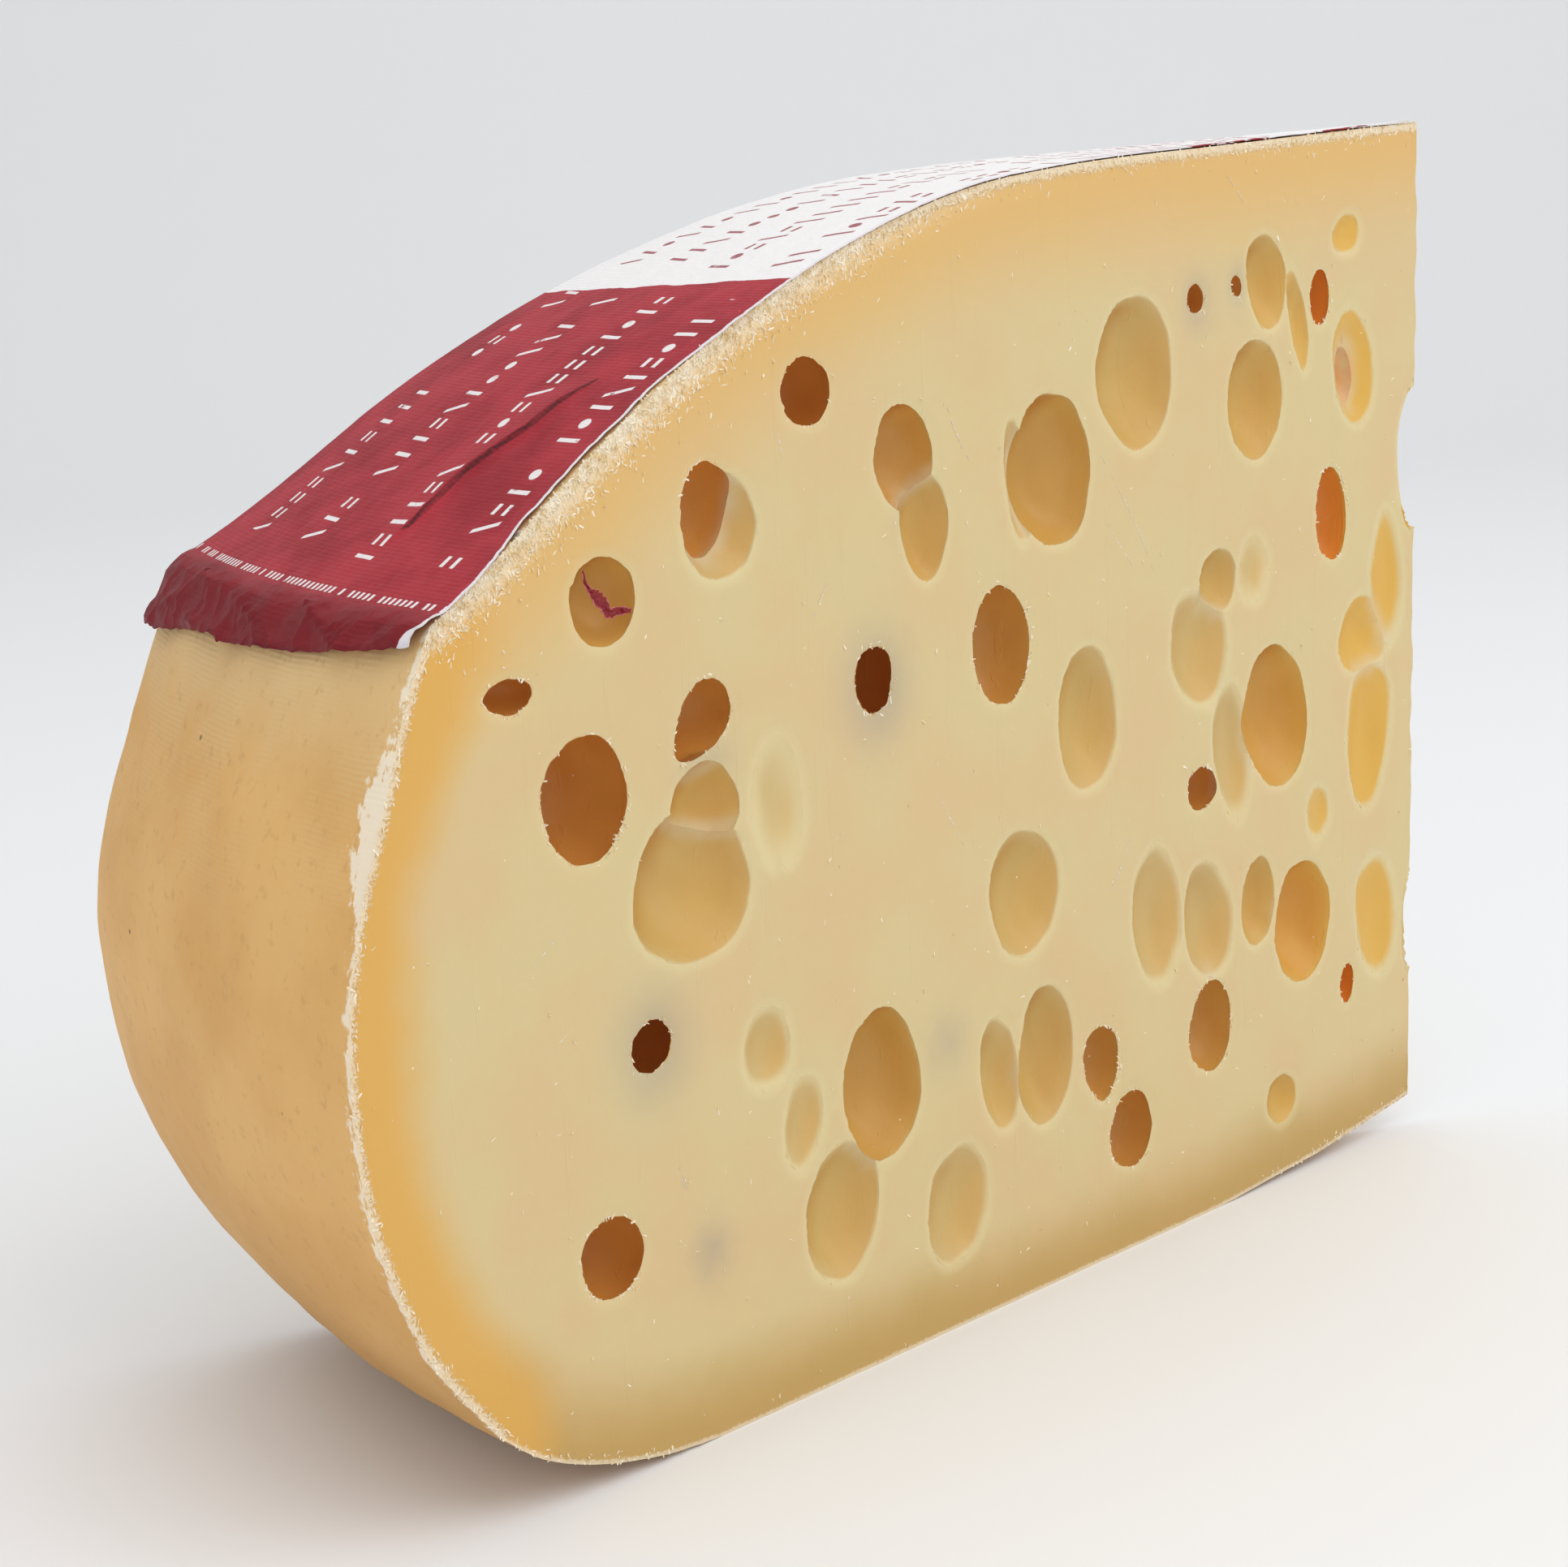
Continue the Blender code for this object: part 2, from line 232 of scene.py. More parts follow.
FAR_EYES = far_eyes()
FAR_EYES[:2] = TIP_NOTCHES
print("eyes near and far:", len(NEAR_EYES), len(FAR_EYES))

# %% [markdown]
# A cut face is flat, yet its lips, its crumbly border and its colour all change within a
# few millimetres. So the face is not a grid: rings of points close round each mouth and
# along the outline, wide spacing between, and a Delaunay triangulation joins them.

# %% Points of a cut face, fine where the detail is
LIP_RINGS = (0.35, 0.8, 1.4, 2.3, 3.6)
BORDER_RINGS = (0.7, 1.5, 2.5, 3.8, 5.5, 8.0, 12.0)
OPEN_SPACING = 5.0
FACE_SEED = 5


def on_face(across, up, eye):
    """Egg and lean of an eye: (towards the tip, upwards) from its middle."""
    across = across * (1 - eye[6] * np.clip(up / (eye[3] / 2), -1.2, 1.2))
    lean = math.radians(eye[5])
    return (across * math.cos(lean) - up * math.sin(lean),
            up * math.cos(lean) + across * math.sin(lean))


def mouth_ring(eye, offset, count):
    """Points round an eye's mouth, that far outside it."""
    turn = np.linspace(0, 2 * math.pi, count, endpoint=False)
    across = np.cos(turn) * (eye[2] / 2 + offset)
    to_tip, up = on_face(across, np.sin(turn) * (eye[3] / 2 + offset), eye)
    return np.stack([eye[0] - to_tip, eye[1] + up], -1)


def inset_ring(line, depth, spacing):
    """The outline moved inwards by that depth."""
    ahead = np.roll(line, -1, axis=0) - np.roll(line, 1, axis=0)
    ahead /= np.linalg.norm(ahead, axis=1)[:, None]
    inward = np.stack([ahead[:, 1], -ahead[:, 0]], -1)
    moved = line + inward * depth
    return moved[:: max(1, round(spacing / 2))]


def distance_to_line(points, line, closed=False):
    """The distance of each point to the nearest stretch of the line."""
    start = line if closed else line[:-1]
    end = np.roll(line, -1, axis=0) if closed else line[1:]
    step = end - start
    length = np.maximum((step ** 2).sum(1), 1e-9)
    best = np.full(len(points), 1e9)
    for first in range(0, len(points), 4000):
        some = points[first:first + 4000]
        t = np.clip(((some[:, None] - start) * step).sum(-1) / length, 0, 1)
        gap = some[:, None] - start - t[..., None] * step
        best[first:first + 4000] = np.sqrt((gap ** 2).sum(-1)).min(1)
    return best


def is_inside(points, loop):
    """True for each point inside the closed loop, by counting the edges to its right."""
    inside = np.zeros(len(points), bool)
    for (ax, ay), (bx, by) in zip(loop, np.roll(loop, -1, axis=0)):
        if ay == by:
            continue
        crosses = (ay > points[:, 1]) != (by > points[:, 1])
        inside ^= crosses & (points[:, 0] < ax + (bx - ax) * (points[:, 1] - ay) / (by - ay))
    return inside


def face_points(eyes):
    """(points, spacing) for one cut face, the finest first."""
    groups = []
    for offset in LIP_RINGS:
        for eye in eyes:
            spacing = 0.9 + offset * 0.45
            around = math.pi * (eye[2] + eye[3]) / 2 + 2 * math.pi * offset
            groups.append((mouth_ring(eye, offset, max(14, round(around / spacing))), spacing))
    for depth in BORDER_RINGS:
        spacing = 1.3 + depth * 0.3
        groups.append((inset_ring(outline, depth, spacing), spacing))
    columns = np.arange(0, WHEEL_RADIUS, OPEN_SPACING)
    rows = np.arange(0, 275, OPEN_SPACING * 0.866)
    grid = np.array([(x + (i % 2) * OPEN_SPACING / 2, z) for i, z in enumerate(rows) for x in columns])
    draw = np.random.default_rng(FACE_SEED)
    grid += draw.uniform(-0.8, 0.8, grid.shape)
    groups.append((grid, OPEN_SPACING))
    return groups


def thin_out(groups):
    """Keeps the points, group by group, that have room for themselves."""
    cell = 1.0
    kept = []
    cells = {}
    for points, spacing in groups:
        room = spacing * 0.62
        points = points[is_inside(points, outline)]
        points = points[distance_to_line(points, outline, closed=True) > 0.45]
        reach = math.ceil(room / cell)
        for x, z in points:
            home = (int(x // cell), int(z // cell))
            near = (cells.get((home[0] + i, home[1] + j), ()) for i in range(-reach, reach + 1)
                    for j in range(-reach, reach + 1))
            if all((x - a) ** 2 + (z - b) ** 2 > room ** 2 for spot in near for a, b in spot):
                cells.setdefault(home, []).append((x, z))
                kept.append((x, z))
    return np.array(kept)


def cut_face(eyes, angle):
    """Vertices in metres and triangles of one cut face."""
    inner = thin_out(face_points(eyes))
    flat = [Vector(point) for point in (*outline, *inner)]
    ring = [(i, (i + 1) % len(outline)) for i in range(len(outline))]
    points, _, faces, *_ = delaunay_2d_cdt(flat, ring, [], 1, 1e-5)
    points = np.array(points)
    return place(points[:, 0], angle, points[:, 1]), [tuple(face) for face in faces]


# %% [markdown]
# The skin is a grid over the section, turned from one cut to the other. It is joined with
# the two cut faces into one closed mesh, which the Boolean below needs.

# %% The wedge before its eyes are cut
SKIN_COLUMNS = 72


def wedge_mesh():
    """Skin and both cut faces, joined into one closed mesh."""
    angles = np.linspace(0, WEDGE_ANGLE, SKIN_COLUMNS + 1)
    rows = place(section[:, 0][:, None], angles[None], section[:, 1][:, None]).reshape(-1, 3)
    wide = SKIN_COLUMNS + 1
    skin = [(r * wide + c, r * wide + c + 1, (r + 1) * wide + c + 1, (r + 1) * wide + c)
            for r in range(len(section) - 1) for c in range(SKIN_COLUMNS)]
    near, near_faces = cut_face(NEAR_EYES, 0.0)
    far, far_faces = cut_face(FAR_EYES, WEDGE_ANGLE)
    vertices = np.concatenate([rows, near, far])
    faces = list(skin)
    for first, some in ((len(rows), near_faces), (len(rows) + len(near), far_faces)):
        faces += [tuple(i + first for i in face) for face in some]
    mesh = new_mesh("wedge", vertices, faces)
    bm = bmesh.new()
    bm.from_mesh(mesh)
    bmesh.ops.remove_doubles(bm, verts=bm.verts, dist=2e-6)
    bmesh.ops.dissolve_degenerate(bm, edges=bm.edges, dist=1e-6)
    bmesh.ops.recalc_face_normals(bm, faces=bm.faces)
    open_edges = sum(not edge.is_manifold for edge in bm.edges)
    print("wedge faces:", len(bm.faces), "open edges:", open_edges)
    bm.to_mesh(mesh)
    bm.free()
    return mesh


# %% [markdown]
# Each eye is cut by its own uneven ball. The ball's rings lie close together where it
# crosses the cut, because that ring becomes the lip. A slow noise makes the mouth uneven,
# and a quick one that dies away within a millimetre tears the lip a little.

# %% The balls that cut the eyes
EYE_UNEVEN = 0.07
LIP_TEAR = 0.38
TEAR_REACH = 0.9


def ball_angles(radius, deep):
    """Polar angles from the deepest point outwards, close together at the cut."""
    at_cut = math.acos(max(-1.0, min(1.0, (radius - deep) / radius)))
    wall = at_cut * radius
    coarse = max(5, round(wall / 2.2))
    inner = at_cut * (1 - np.linspace(1, 0, coarse) ** 0.8 * 0.94) - 1.6 / radius
    fine = at_cut + np.array([-0.9, -0.45, 0, 0.5, 1.2]) / radius
    outer = np.linspace(fine[-1], math.pi, 6)[1:-1]
    angles = np.concatenate([inner[inner > 0.05], fine, outer])
    return np.unique(np.clip(angles, 0.04, math.pi - 0.04))


def eye_ball(eye, face_angle, index):
    """The ball of one eye: its pole points into the cheese, square to the cut face."""
    from_tip, height, wide, tall, deep, *_ = eye
    mouth = math.sqrt(wide * tall) / 2
    radius = (mouth ** 2 + deep ** 2) / (2 * deep)
    count = max(16, min(96, round(math.pi * (wide + tall) / 2 / 1.05)))
    polar = ball_angles(radius, deep)
    turn = np.linspace(0, 2 * math.pi, count, endpoint=False)
    down = np.cos(polar)[:, None] * np.ones(count)
    across = np.sin(polar)[:, None] * np.cos(turn)
    up = np.sin(polar)[:, None] * np.sin(turn)
    seed = Vector((index * 7.3, index * 3.1, index * 1.7))
    size = np.ones_like(down)
    below = (down * radius) - (radius - deep)
    for ring, spot in np.ndindex(down.shape):
        way = Vector((across[ring, spot], up[ring, spot], down[ring, spot]))
        slow = noise.noise(way * 1.1 + seed) + 0.4 * noise.noise(way * 2.6 + seed)
        quick = noise.noise(way * radius / 0.9 + seed) + 0.6 * noise.noise(way * radius / 0.45 + seed)
        torn = LIP_TEAR * math.exp(-(below[ring, spot] / TEAR_REACH) ** 2)
        torn *= 0.35 + 0.65 * max(0.0, -way.x) ** 0.5
        size[ring, spot] = 1 + EYE_UNEVEN * slow + torn * quick / radius
    across = across * size * radius * wide / (2 * mouth)
    up = up * size * radius * tall / (2 * mouth)
    inward = down * size * radius - (radius - deep)
    sideways, upwards = on_face(across, up, eye)
    points = np.stack([sideways, inward, upwards], -1).reshape(-1, 3)
    if face_angle:
        points[:, 1] *= -1
    rings = len(polar)
    faces = [(r * count + c, r * count + (c + 1) % count, (r + 1) * count + (c + 1) % count,
              (r + 1) * count + c) for r in range(rings - 1) for c in range(count)]
    faces.append(tuple(range(count)))
    faces.append(tuple((rings - 1) * count + c for c in range(count)))
    mesh = new_mesh(f"eye_{index:02d}", points * MM, faces)
    bm = bmesh.new()
    bm.from_mesh(mesh)
    bmesh.ops.recalc_face_normals(bm, faces=bm.faces)
    bm.to_mesh(mesh)
    bm.free()
    ball = bpy.data.objects.new(mesh.name, mesh)
    turned = Matrix.Rotation(-face_angle, 4, "Z")
    middle = place(from_tip, face_angle, height)
    ball.matrix_world = Matrix.Translation(Vector(middle)) @ turned
    return ball


def cut_eyes(mesh):
    """The wedge with every eye cut out of it, as a plain mesh."""
    wedge = in_scene("wedge", mesh)
    balls = bpy.data.collections.new("eye_balls")
    bpy.context.scene.collection.children.link(balls)
    for index, eye in enumerate(NEAR_EYES):
        balls.objects.link(eye_ball(eye, 0.0, index))
    for index, eye in enumerate(FAR_EYES, start=len(NEAR_EYES)):
        balls.objects.link(eye_ball(eye, WEDGE_ANGLE, index))
    cut = wedge.modifiers.new("eyes", "BOOLEAN")
    cut.operand_type = "COLLECTION"
    cut.collection = balls
    cut.solver = "MANIFOLD"
    made = bpy.data.meshes.new_from_object(wedge.evaluated_get(bpy.context.evaluated_depsgraph_get()))
    for ball in list(balls.objects):
        bpy.data.objects.remove(ball)
    bpy.data.collections.remove(balls)
    bpy.data.objects.remove(wedge)
    return made


cheese_mesh = cut_eyes(wedge_mesh())
print("cheese faces:", len(cheese_mesh.polygons))

# %% [markdown]
# What a point of the cheese looks like depends on where it is: how near the rind, how near
# a lip, how deep in which eye. These are measured once per vertex and kept as attributes,
# which the materials read, so the colours follow the shape however it is cut.

# %% Measure the cheese
# Painted grey shade where a deep or hidden eye darkens the see-through paste: distance from the tip, height,
# size and strength of each spot.
CAVITY_SHADES = [(205, 156, 9, 1.0), (274, 92, 9, 0.9), (92, 231, 5, 0.8), (76, 234, 4, 0.7),
          (261, 43, 5, 0.8), (186, 70, 6, 0.55), (256, 149, 7, 0.6), (192, 192, 5, 0.5)]
ON_PLANE = 0.004
ON_SKIN = 0.06
MEASURED = ("lip", "hollow", "thin", "deep_share", "lit", "cavity_shade", "from_top", "from_rim", "from_base")


def vertex_places(mesh):
    """Every vertex in the wheel's millimetres: x, y and z with the axis at the origin."""
    points = np.empty(len(mesh.vertices) * 3, np.float32)
    mesh.vertices.foreach_get("co", points)
    points = points.reshape(-1, 3).astype(float) / MM
    return points + (-CENTRE_X, CENTRE_Y, 0)


def under_cuts(points):
    """The distances below the near and the far cut."""
    return points[:, 1], -points[:, 0] * math.sin(WEDGE_ANGLE) - points[:, 1] * math.cos(WEDGE_ANGLE)


def reach_height(points):
    return np.stack([np.hypot(points[:, 0], points[:, 1]), points[:, 2]], -1)


def smooth_step(value, low, high):
    t = np.clip((value - low) / (high - low), 0, 1)
    return t * t * (3 - 2 * t)


def eye_walls(points, from_cut, eyes, angle):
    """For points on eye walls: how far they miss the eye's ball, how hollow the eye is there,
    how thin the wall, how deep that eye, and how far towards its lit side."""
    way = FAR_WAY if angle else NEAR_WAY
    along = points[:, :2] @ way
    best, second = np.full((2, len(points)), 1e9)
    hollow, shares, lit = np.zeros((3, len(points)))
    for from_tip, height, wide, tall, deep, *_ in eyes:
        mouth = math.sqrt(wide * tall) / 2
        radius = (mouth ** 2 + deep ** 2) / (2 * deep)
        miss = np.abs(np.sqrt(((along - from_tip) * 2 * mouth / wide) ** 2
                              + ((points[:, 2] - height) * 2 * mouth / tall) ** 2
                              + (from_cut - deep + radius) ** 2) - radius)
        share = deep ** 2 / (deep ** 2 + mouth ** 2)
        fade = smooth_step(from_cut, -0.3, 0.3 + 3.0 * (1 - share))
        toward = 1.6 * (from_tip - along) / wide - 1.0 * (points[:, 2] - height) / tall
        closer = miss < best
        second = np.where(closer, best, np.minimum(second, miss))
        hollow = np.where(closer, share * fade, hollow)
        shares = np.where(closer, share, shares)
        lit = np.where(closer, toward, lit)
        best = np.where(closer, miss, best)
    return np.stack([best, hollow, 1 - smooth_step(second, 0.3, 3.0), shares, smooth_step(lit, -1, 1)])


def write_attribute(mesh, name, values):
    made = mesh.attributes.new(name, "FLOAT", "POINT")
    made.data.foreach_set("value", np.ascontiguousarray(values, np.float32))


def corner_lists(mesh):
    starts = np.empty(len(mesh.polygons), np.int32)
    totals = np.empty(len(mesh.polygons), np.int32)
    corners = np.empty(len(mesh.loops), np.int32)
    mesh.polygons.foreach_get("loop_start", starts)
    mesh.polygons.foreach_get("loop_total", totals)
    mesh.loops.foreach_get("vertex_index", corners)
    return starts, totals, corners


points = vertex_places(cheese_mesh)
under_near, under_far = under_cuts(points)
flat_places = reach_height(points)
on_near = np.abs(under_near) < ON_PLANE
on_far = np.abs(under_far) < ON_PLANE
from_skin = distance_to_line(flat_places, section)
on_skin = from_skin < ON_SKIN

starts, totals, corners = corner_lists(cheese_mesh)


def all_corners(mask):
    return np.logical_and.reduceat(mask[corners], starts)


near_faces = all_corners(on_near)
far_faces = all_corners(on_far)
skin_faces = all_corners(on_skin) & ~near_faces & ~far_faces
wall_faces = ~(near_faces | far_faces | skin_faces)
on_wall = np.zeros(len(points), bool)
on_wall[corners[np.repeat(wall_faces, totals)]] = True
print("faces: near", near_faces.sum(), "far", far_faces.sum(), "skin", skin_faces.sum(),
      "walls", wall_faces.sum())


def nearest(points, targets):
    """The distance to the nearest target, and which one it is."""
    tree = kdtree.KDTree(len(targets))
    for i, target in enumerate(targets):
        tree.insert(target, i)
    tree.balance()
    found = [tree.find(point) for point in points]
    return np.array([hit[2] for hit in found]), np.array([hit[1] for hit in found])


walls = on_wall & ~on_near & ~on_far
lip, hollow, thin, deep_share, lit = np.zeros((5, len(points)))
by_near = eye_walls(points[on_wall], under_near[on_wall], NEAR_EYES, 0)
by_far = eye_walls(points[on_wall], under_far[on_wall], FAR_EYES, 1)
near_fits = by_near[0] <= by_far[0]
nearer, farther = on_wall.copy(), on_wall.copy()
nearer[on_wall], farther[on_wall] = near_fits, ~near_fits
_, hollow[on_wall], thin[on_wall], deep_share[on_wall], lit[on_wall] = np.where(near_fits, by_near,
                                                                                by_far)
for on_cut in (on_near, on_far):
    rim = np.where(on_cut & on_wall)[0]
    lip[on_cut], closest = nearest(points[on_cut], points[rim])
    deep_share[on_cut] = deep_share[rim[closest]]
hollow[~walls] = 0
thin[~walls] = 0
# Painted shade round deep and hidden eyes, on the near cut only.
cavity_shade = np.zeros(len(points))
for from_tip, height, size, strength in CAVITY_SHADES:
    away = np.hypot(flat_places[:, 0] - from_tip, (flat_places[:, 1] - height) * 0.8)
    cavity_shade += strength * np.exp(-(away / size) ** 2) * (under_near < 4)
from_top = distance_to_line(flat_places, smooth_line(TOP_KNOTS, 6))
from_rim = distance_to_line(flat_places, smooth_line(RIM_KNOTS, 6))
from_base = distance_to_line(flat_places, np.concatenate([smooth_line(BASE_KNOTS, 6),
                                                          np.array(LIFT_KNOTS, float)]))

# %% [markdown]
# A knife never leaves a perfect plane. The lips are pressed in a little, the border beside
# the rind crumbles, the rim is lumpy, and the thin tip is worn.

# %% Wear on the cheese
LIP_PRESS = 0.45
LIP_WIDTH = 0.9
CRUMBLE = 0.45
CRUMBLE_WIDTH = 3.2
SHOULDER_WORN = 1.5
SHOULDER_WIDTH = 3.4
SHOULDER_FADES = (110, 215)
RIND_LUMPS = 0.7
RIND_FADES = (300, 330)
WAVE_DEPTH = 0.12
WAVE_LENGTH = 38
WALL_PRESS_DEPTH = 1.2
TIP_WEAR = 1.1
TIP_WORN = 4

pushed = np.zeros((len(points), 3))
worn_share = smooth_step(flat_places[:, 0], *SHOULDER_FADES)
near_normal = np.array((0.0, 1.0, 0.0))
far_normal = np.array((-math.sin(WEDGE_ANGLE), -math.cos(WEDGE_ANGLE), 0.0))
for on_cut, inward in ((on_near, near_normal), (on_far, far_normal)):
    some = np.where(on_cut)[0]
    for i in some:
        spot = Vector(points[i])
        depth = LIP_PRESS * math.exp(-(lip[i] / LIP_WIDTH) ** 2)
        border = math.exp(-(min(from_top[i], from_rim[i], from_base[i]) / CRUMBLE_WIDTH) ** 2)
        depth += CRUMBLE * border * (0.5 + 0.5 * noise.noise(spot / 1.6))
        depth += WAVE_DEPTH * (1 + noise.noise(spot / WAVE_LENGTH))
        worn = SHOULDER_WORN * math.exp(-(from_top[i] / SHOULDER_WIDTH) ** 2) * worn_share[i]
        depth += worn * (0.8 + 0.5 * noise.noise(spot / 4) + 0.3 * noise.noise(spot / 1.2))
        pushed[i] += inward * depth
for under, eyes_side, inward in ((under_near, nearer, near_normal), (under_far, farther, far_normal)):
    some = walls & eyes_side
    press = LIP_PRESS * np.exp(-(under[some] / WALL_PRESS_DEPTH) ** 2)
    pushed[some] += inward * press[:, None]
for i in np.where(on_skin)[0]:
    spot = Vector(points[i])
    way = np.array((points[i, 0], points[i, 1], 0)) / max(flat_places[i, 0], 1e-3)
    lumps = RIND_LUMPS * (noise.noise(spot / 26) + 0.5 * noise.noise(spot / 9) - 0.8)
    pushed[i] += way * lumps * smooth_step(flat_places[i, 0], *RIND_FADES)
for i in np.where(flat_places[:, 0] < TIP_WORN)[0]:
    worn = TIP_WEAR * (0.4 + noise.noise(Vector((0, 0, points[i, 2] / 9))))
    pushed[i] += np.array((-1.0, 0.2, 0)) * max(worn, 0.1) * (1 - flat_places[i, 0] / TIP_WORN)
moved = points + pushed + (CENTRE_X, -CENTRE_Y, 0)
cheese_mesh.vertices.foreach_set("co", np.ascontiguousarray(moved * MM, np.float32).ravel())
for name, values in zip(MEASURED, (np.where(walls, 0, lip), hollow, thin, deep_share, lit,
                                   np.clip(cavity_shade, 0, 1), from_top, from_rim, from_base)):
    write_attribute(cheese_mesh, name, values)

print("worn by up to, in mm:", round(np.linalg.norm(pushed, axis=1).max(), 2))

# %% [markdown]
# The rind's cloth print and its scraped edge run round the wheel, so they need a map of the
# rind that is laid out flat and keeps true lengths.

# %% A map in millimetres for the rind: round the wheel, and along the section
RIM_STARTS = 300.0


def write_rind_map(mesh):
    """Millimetres round the wheel and along the section, or up it where the rim is steep."""
    along = np.concatenate([[0], np.cumsum(np.linalg.norm(np.diff(section, axis=0), axis=1))])
    _, closest = nearest(np.pad(flat_places, ((0, 0), (0, 1))), np.pad(section, ((0, 0), (0, 1))))
    down = np.where(flat_places[:, 0] > RIM_STARTS, -flat_places[:, 1], along[closest])
    round_wheel = np.arctan2(points[:, 1], -points[:, 0]) * WHEEL_RADIUS
    made = mesh.uv_layers.new(name="rind_map")
    values = np.stack([round_wheel[corners], down[corners]], -1)
    made.data.foreach_set("uv", np.ascontiguousarray(values, np.float32).ravel())


write_rind_map(cheese_mesh)
print("maps on the cheese:", [made.name for made in cheese_mesh.uv_layers])

# %% [markdown]
# Colours are written as the hex values of a paint chart, and one function turns them to the
# linear values that the shader wants. A second small function adds a node with its settings
# and links, for every tree below. Four more take up sums that repeat in the materials.

# %% Colour and node helpers
def colour(hex_value):
    parts = [int(hex_value[i:i + 2], 16) / 255 for i in (1, 3, 5)]
    linear = [part / 12.92 if part <= 0.04045 else ((part + 0.055) / 1.055) ** 2.4 for part in parts]
    return (*linear, 1.0)


NODES = {"RAMP": ("ShaderNodeMapRange", {"interpolation_type": "SMOOTHSTEP"}, (0, 1, 2), 0),
         "BLEND": ("ShaderNodeMix", {"data_type": "RGBA"}, (0, 6, 7), 2),
         "NOISE": ("ShaderNodeTexNoise", {}, (0, 2, 3, 4), 0),
         "ATTRIBUTE": ("ShaderNodeAttribute", {}, (), 2)}


def add(tree, kind, *values, out=None, **named):
    """Adds a node and returns one of its outputs. Names in small letters are its settings, and
    capitalised ones are its inputs, as are plain values in order. A kind in capitals that isn't
    in the table is a sum. A ramp is 0 at its first limit and 1 at its second, smooth between."""
    full, settings, places, first = kind, {}, range(len(values)), 0
    if kind in NODES:
        full, settings, places, first = NODES[kind]
    elif kind.isupper():
        full, settings = "ShaderNodeMath", {"operation": kind}
    made = tree.nodes.new(full)
    inputs = dict(zip(places, values))
    for name, value in (settings | named).items():
        if name.islower():
            setattr(made, name, value)
        else:
            inputs[name.replace("_", " ")] = value
    for name, value in inputs.items():
        if isinstance(value, bpy.types.NodeSocket):
            tree.links.new(value, made.inputs[name])
        elif value is not None:
            made.inputs[name].default_value = value
    if made.outputs:
        return made.outputs[first if out is None else out]


def paint(tree, under, mask, share, tint):
    """The tint over what is under it, where the mask says and by that share."""
    return add(tree, "BLEND", add(tree, "MULTIPLY", mask, share), under, colour(tint))


def ragged(tree, value, grain, reach):
    """The value, made uneven by a noise: up to half the reach more or less."""
    return add(tree, "ADD", value, add(tree, "MULTIPLY", add(tree, "SUBTRACT", grain, 0.5), reach))


def off_by(tree, value, target):
    """How far the value is from the target, either way."""
    return add(tree, "ABSOLUTE", add(tree, "SUBTRACT", value, target))


def cells(tree, value, pitch):
    """Which cell of that pitch the value is in, and how far it is from the cell's middle."""
    share = add(tree, "DIVIDE", value, pitch)
    cell = add(tree, "FLOOR", share)
    off = add(tree, "SUBTRACT", add(tree, "SUBTRACT", share, cell), 0.5)
    return cell, add(tree, "MULTIPLY", off, pitch)


def new_material(name):
    made = bpy.data.materials.new(name)
    made.use_nodes = True
    tree = made.node_tree
    tree.nodes.clear()
    shader = tree.nodes.new("ShaderNodeBsdfPrincipled")
    output = tree.nodes.new("ShaderNodeOutputMaterial")
    tree.links.new(shader.outputs[0], output.inputs["Surface"])
    return made, tree, shader


# %% [markdown]
# Emmental paste is a firm, waxy, slightly see-through cheese. It is pale ivory in the
# middle and turns deep yellow towards the rim where it dries; the olive tan above the base
# is painted shade, where the cheese meets the floor. Light that bounces inside a deep eye
# comes back orange, and lips and thin walls look paler, because light enters them from two
# sides. These are painted here too, with the glow of the thin tip, the lit and dim sides of
# each eye and the grey shade of deep and hidden eyes, by the depth and place that were
# measured, since light scattered under the surface takes the render too long.

# %% Material of the paste
PASTE_PALE = "#D9C490"
PASTE_WARM = "#DBBF8C"
RIM_BAND = "#E0AB50"
TOP_BAND = "#E2B162"
# Painted shade: the darker olive band above the base, where the cheese meets the floor.
BASE_SHADE_BAND = "#BF974B"
LIP_LIGHT = "#E6D9A6"
# Painted light: thin walls between eyes, which light shines through.
THIN_WALL_GLOW = "#D9CBA8"
# Painted grey shade of eyes that lie deep or hidden under the paste.
CAVITY_SHADE_GREY = "#A79C8C"
CRUMB_WHITE = "#F6E9D0"
GLOW_YELLOW = "#E0AE46"
GLOW_ORANGE = "#E8862A"
LIT_SIDE = "#DCA856"
DIM_SIDE = "#DCB294"
BAND_WANDER = 16.0
TIP_GLOWS = (0.095, 0.150)
RIM_FLUFFY = (0.020, -0.060)
# The top and rim bands are the drier paste by the rind; the base band is painted shade.
BANDS = [("from_top", 3, 34, 0.75, TOP_BAND), ("from_base", 3, 25, 0.8, BASE_SHADE_BAND),
         ("from_rim", 6, 22, 0.92, RIM_BAND)]
# Colours inside the eyes by how hollow they are: painted shade and orange bounce light, deeper eyes darker
# and more orange.
HOLLOW_SHADE_STEPS = [(0.0, "#D6BE86"), (0.07, "#CFB276"), (0.2, "#CDAC66"), (0.42, "#CFA250"),
                (0.63, "#D29848"), (0.85, "#EA9E44"), (0.96, "#EE9040")]


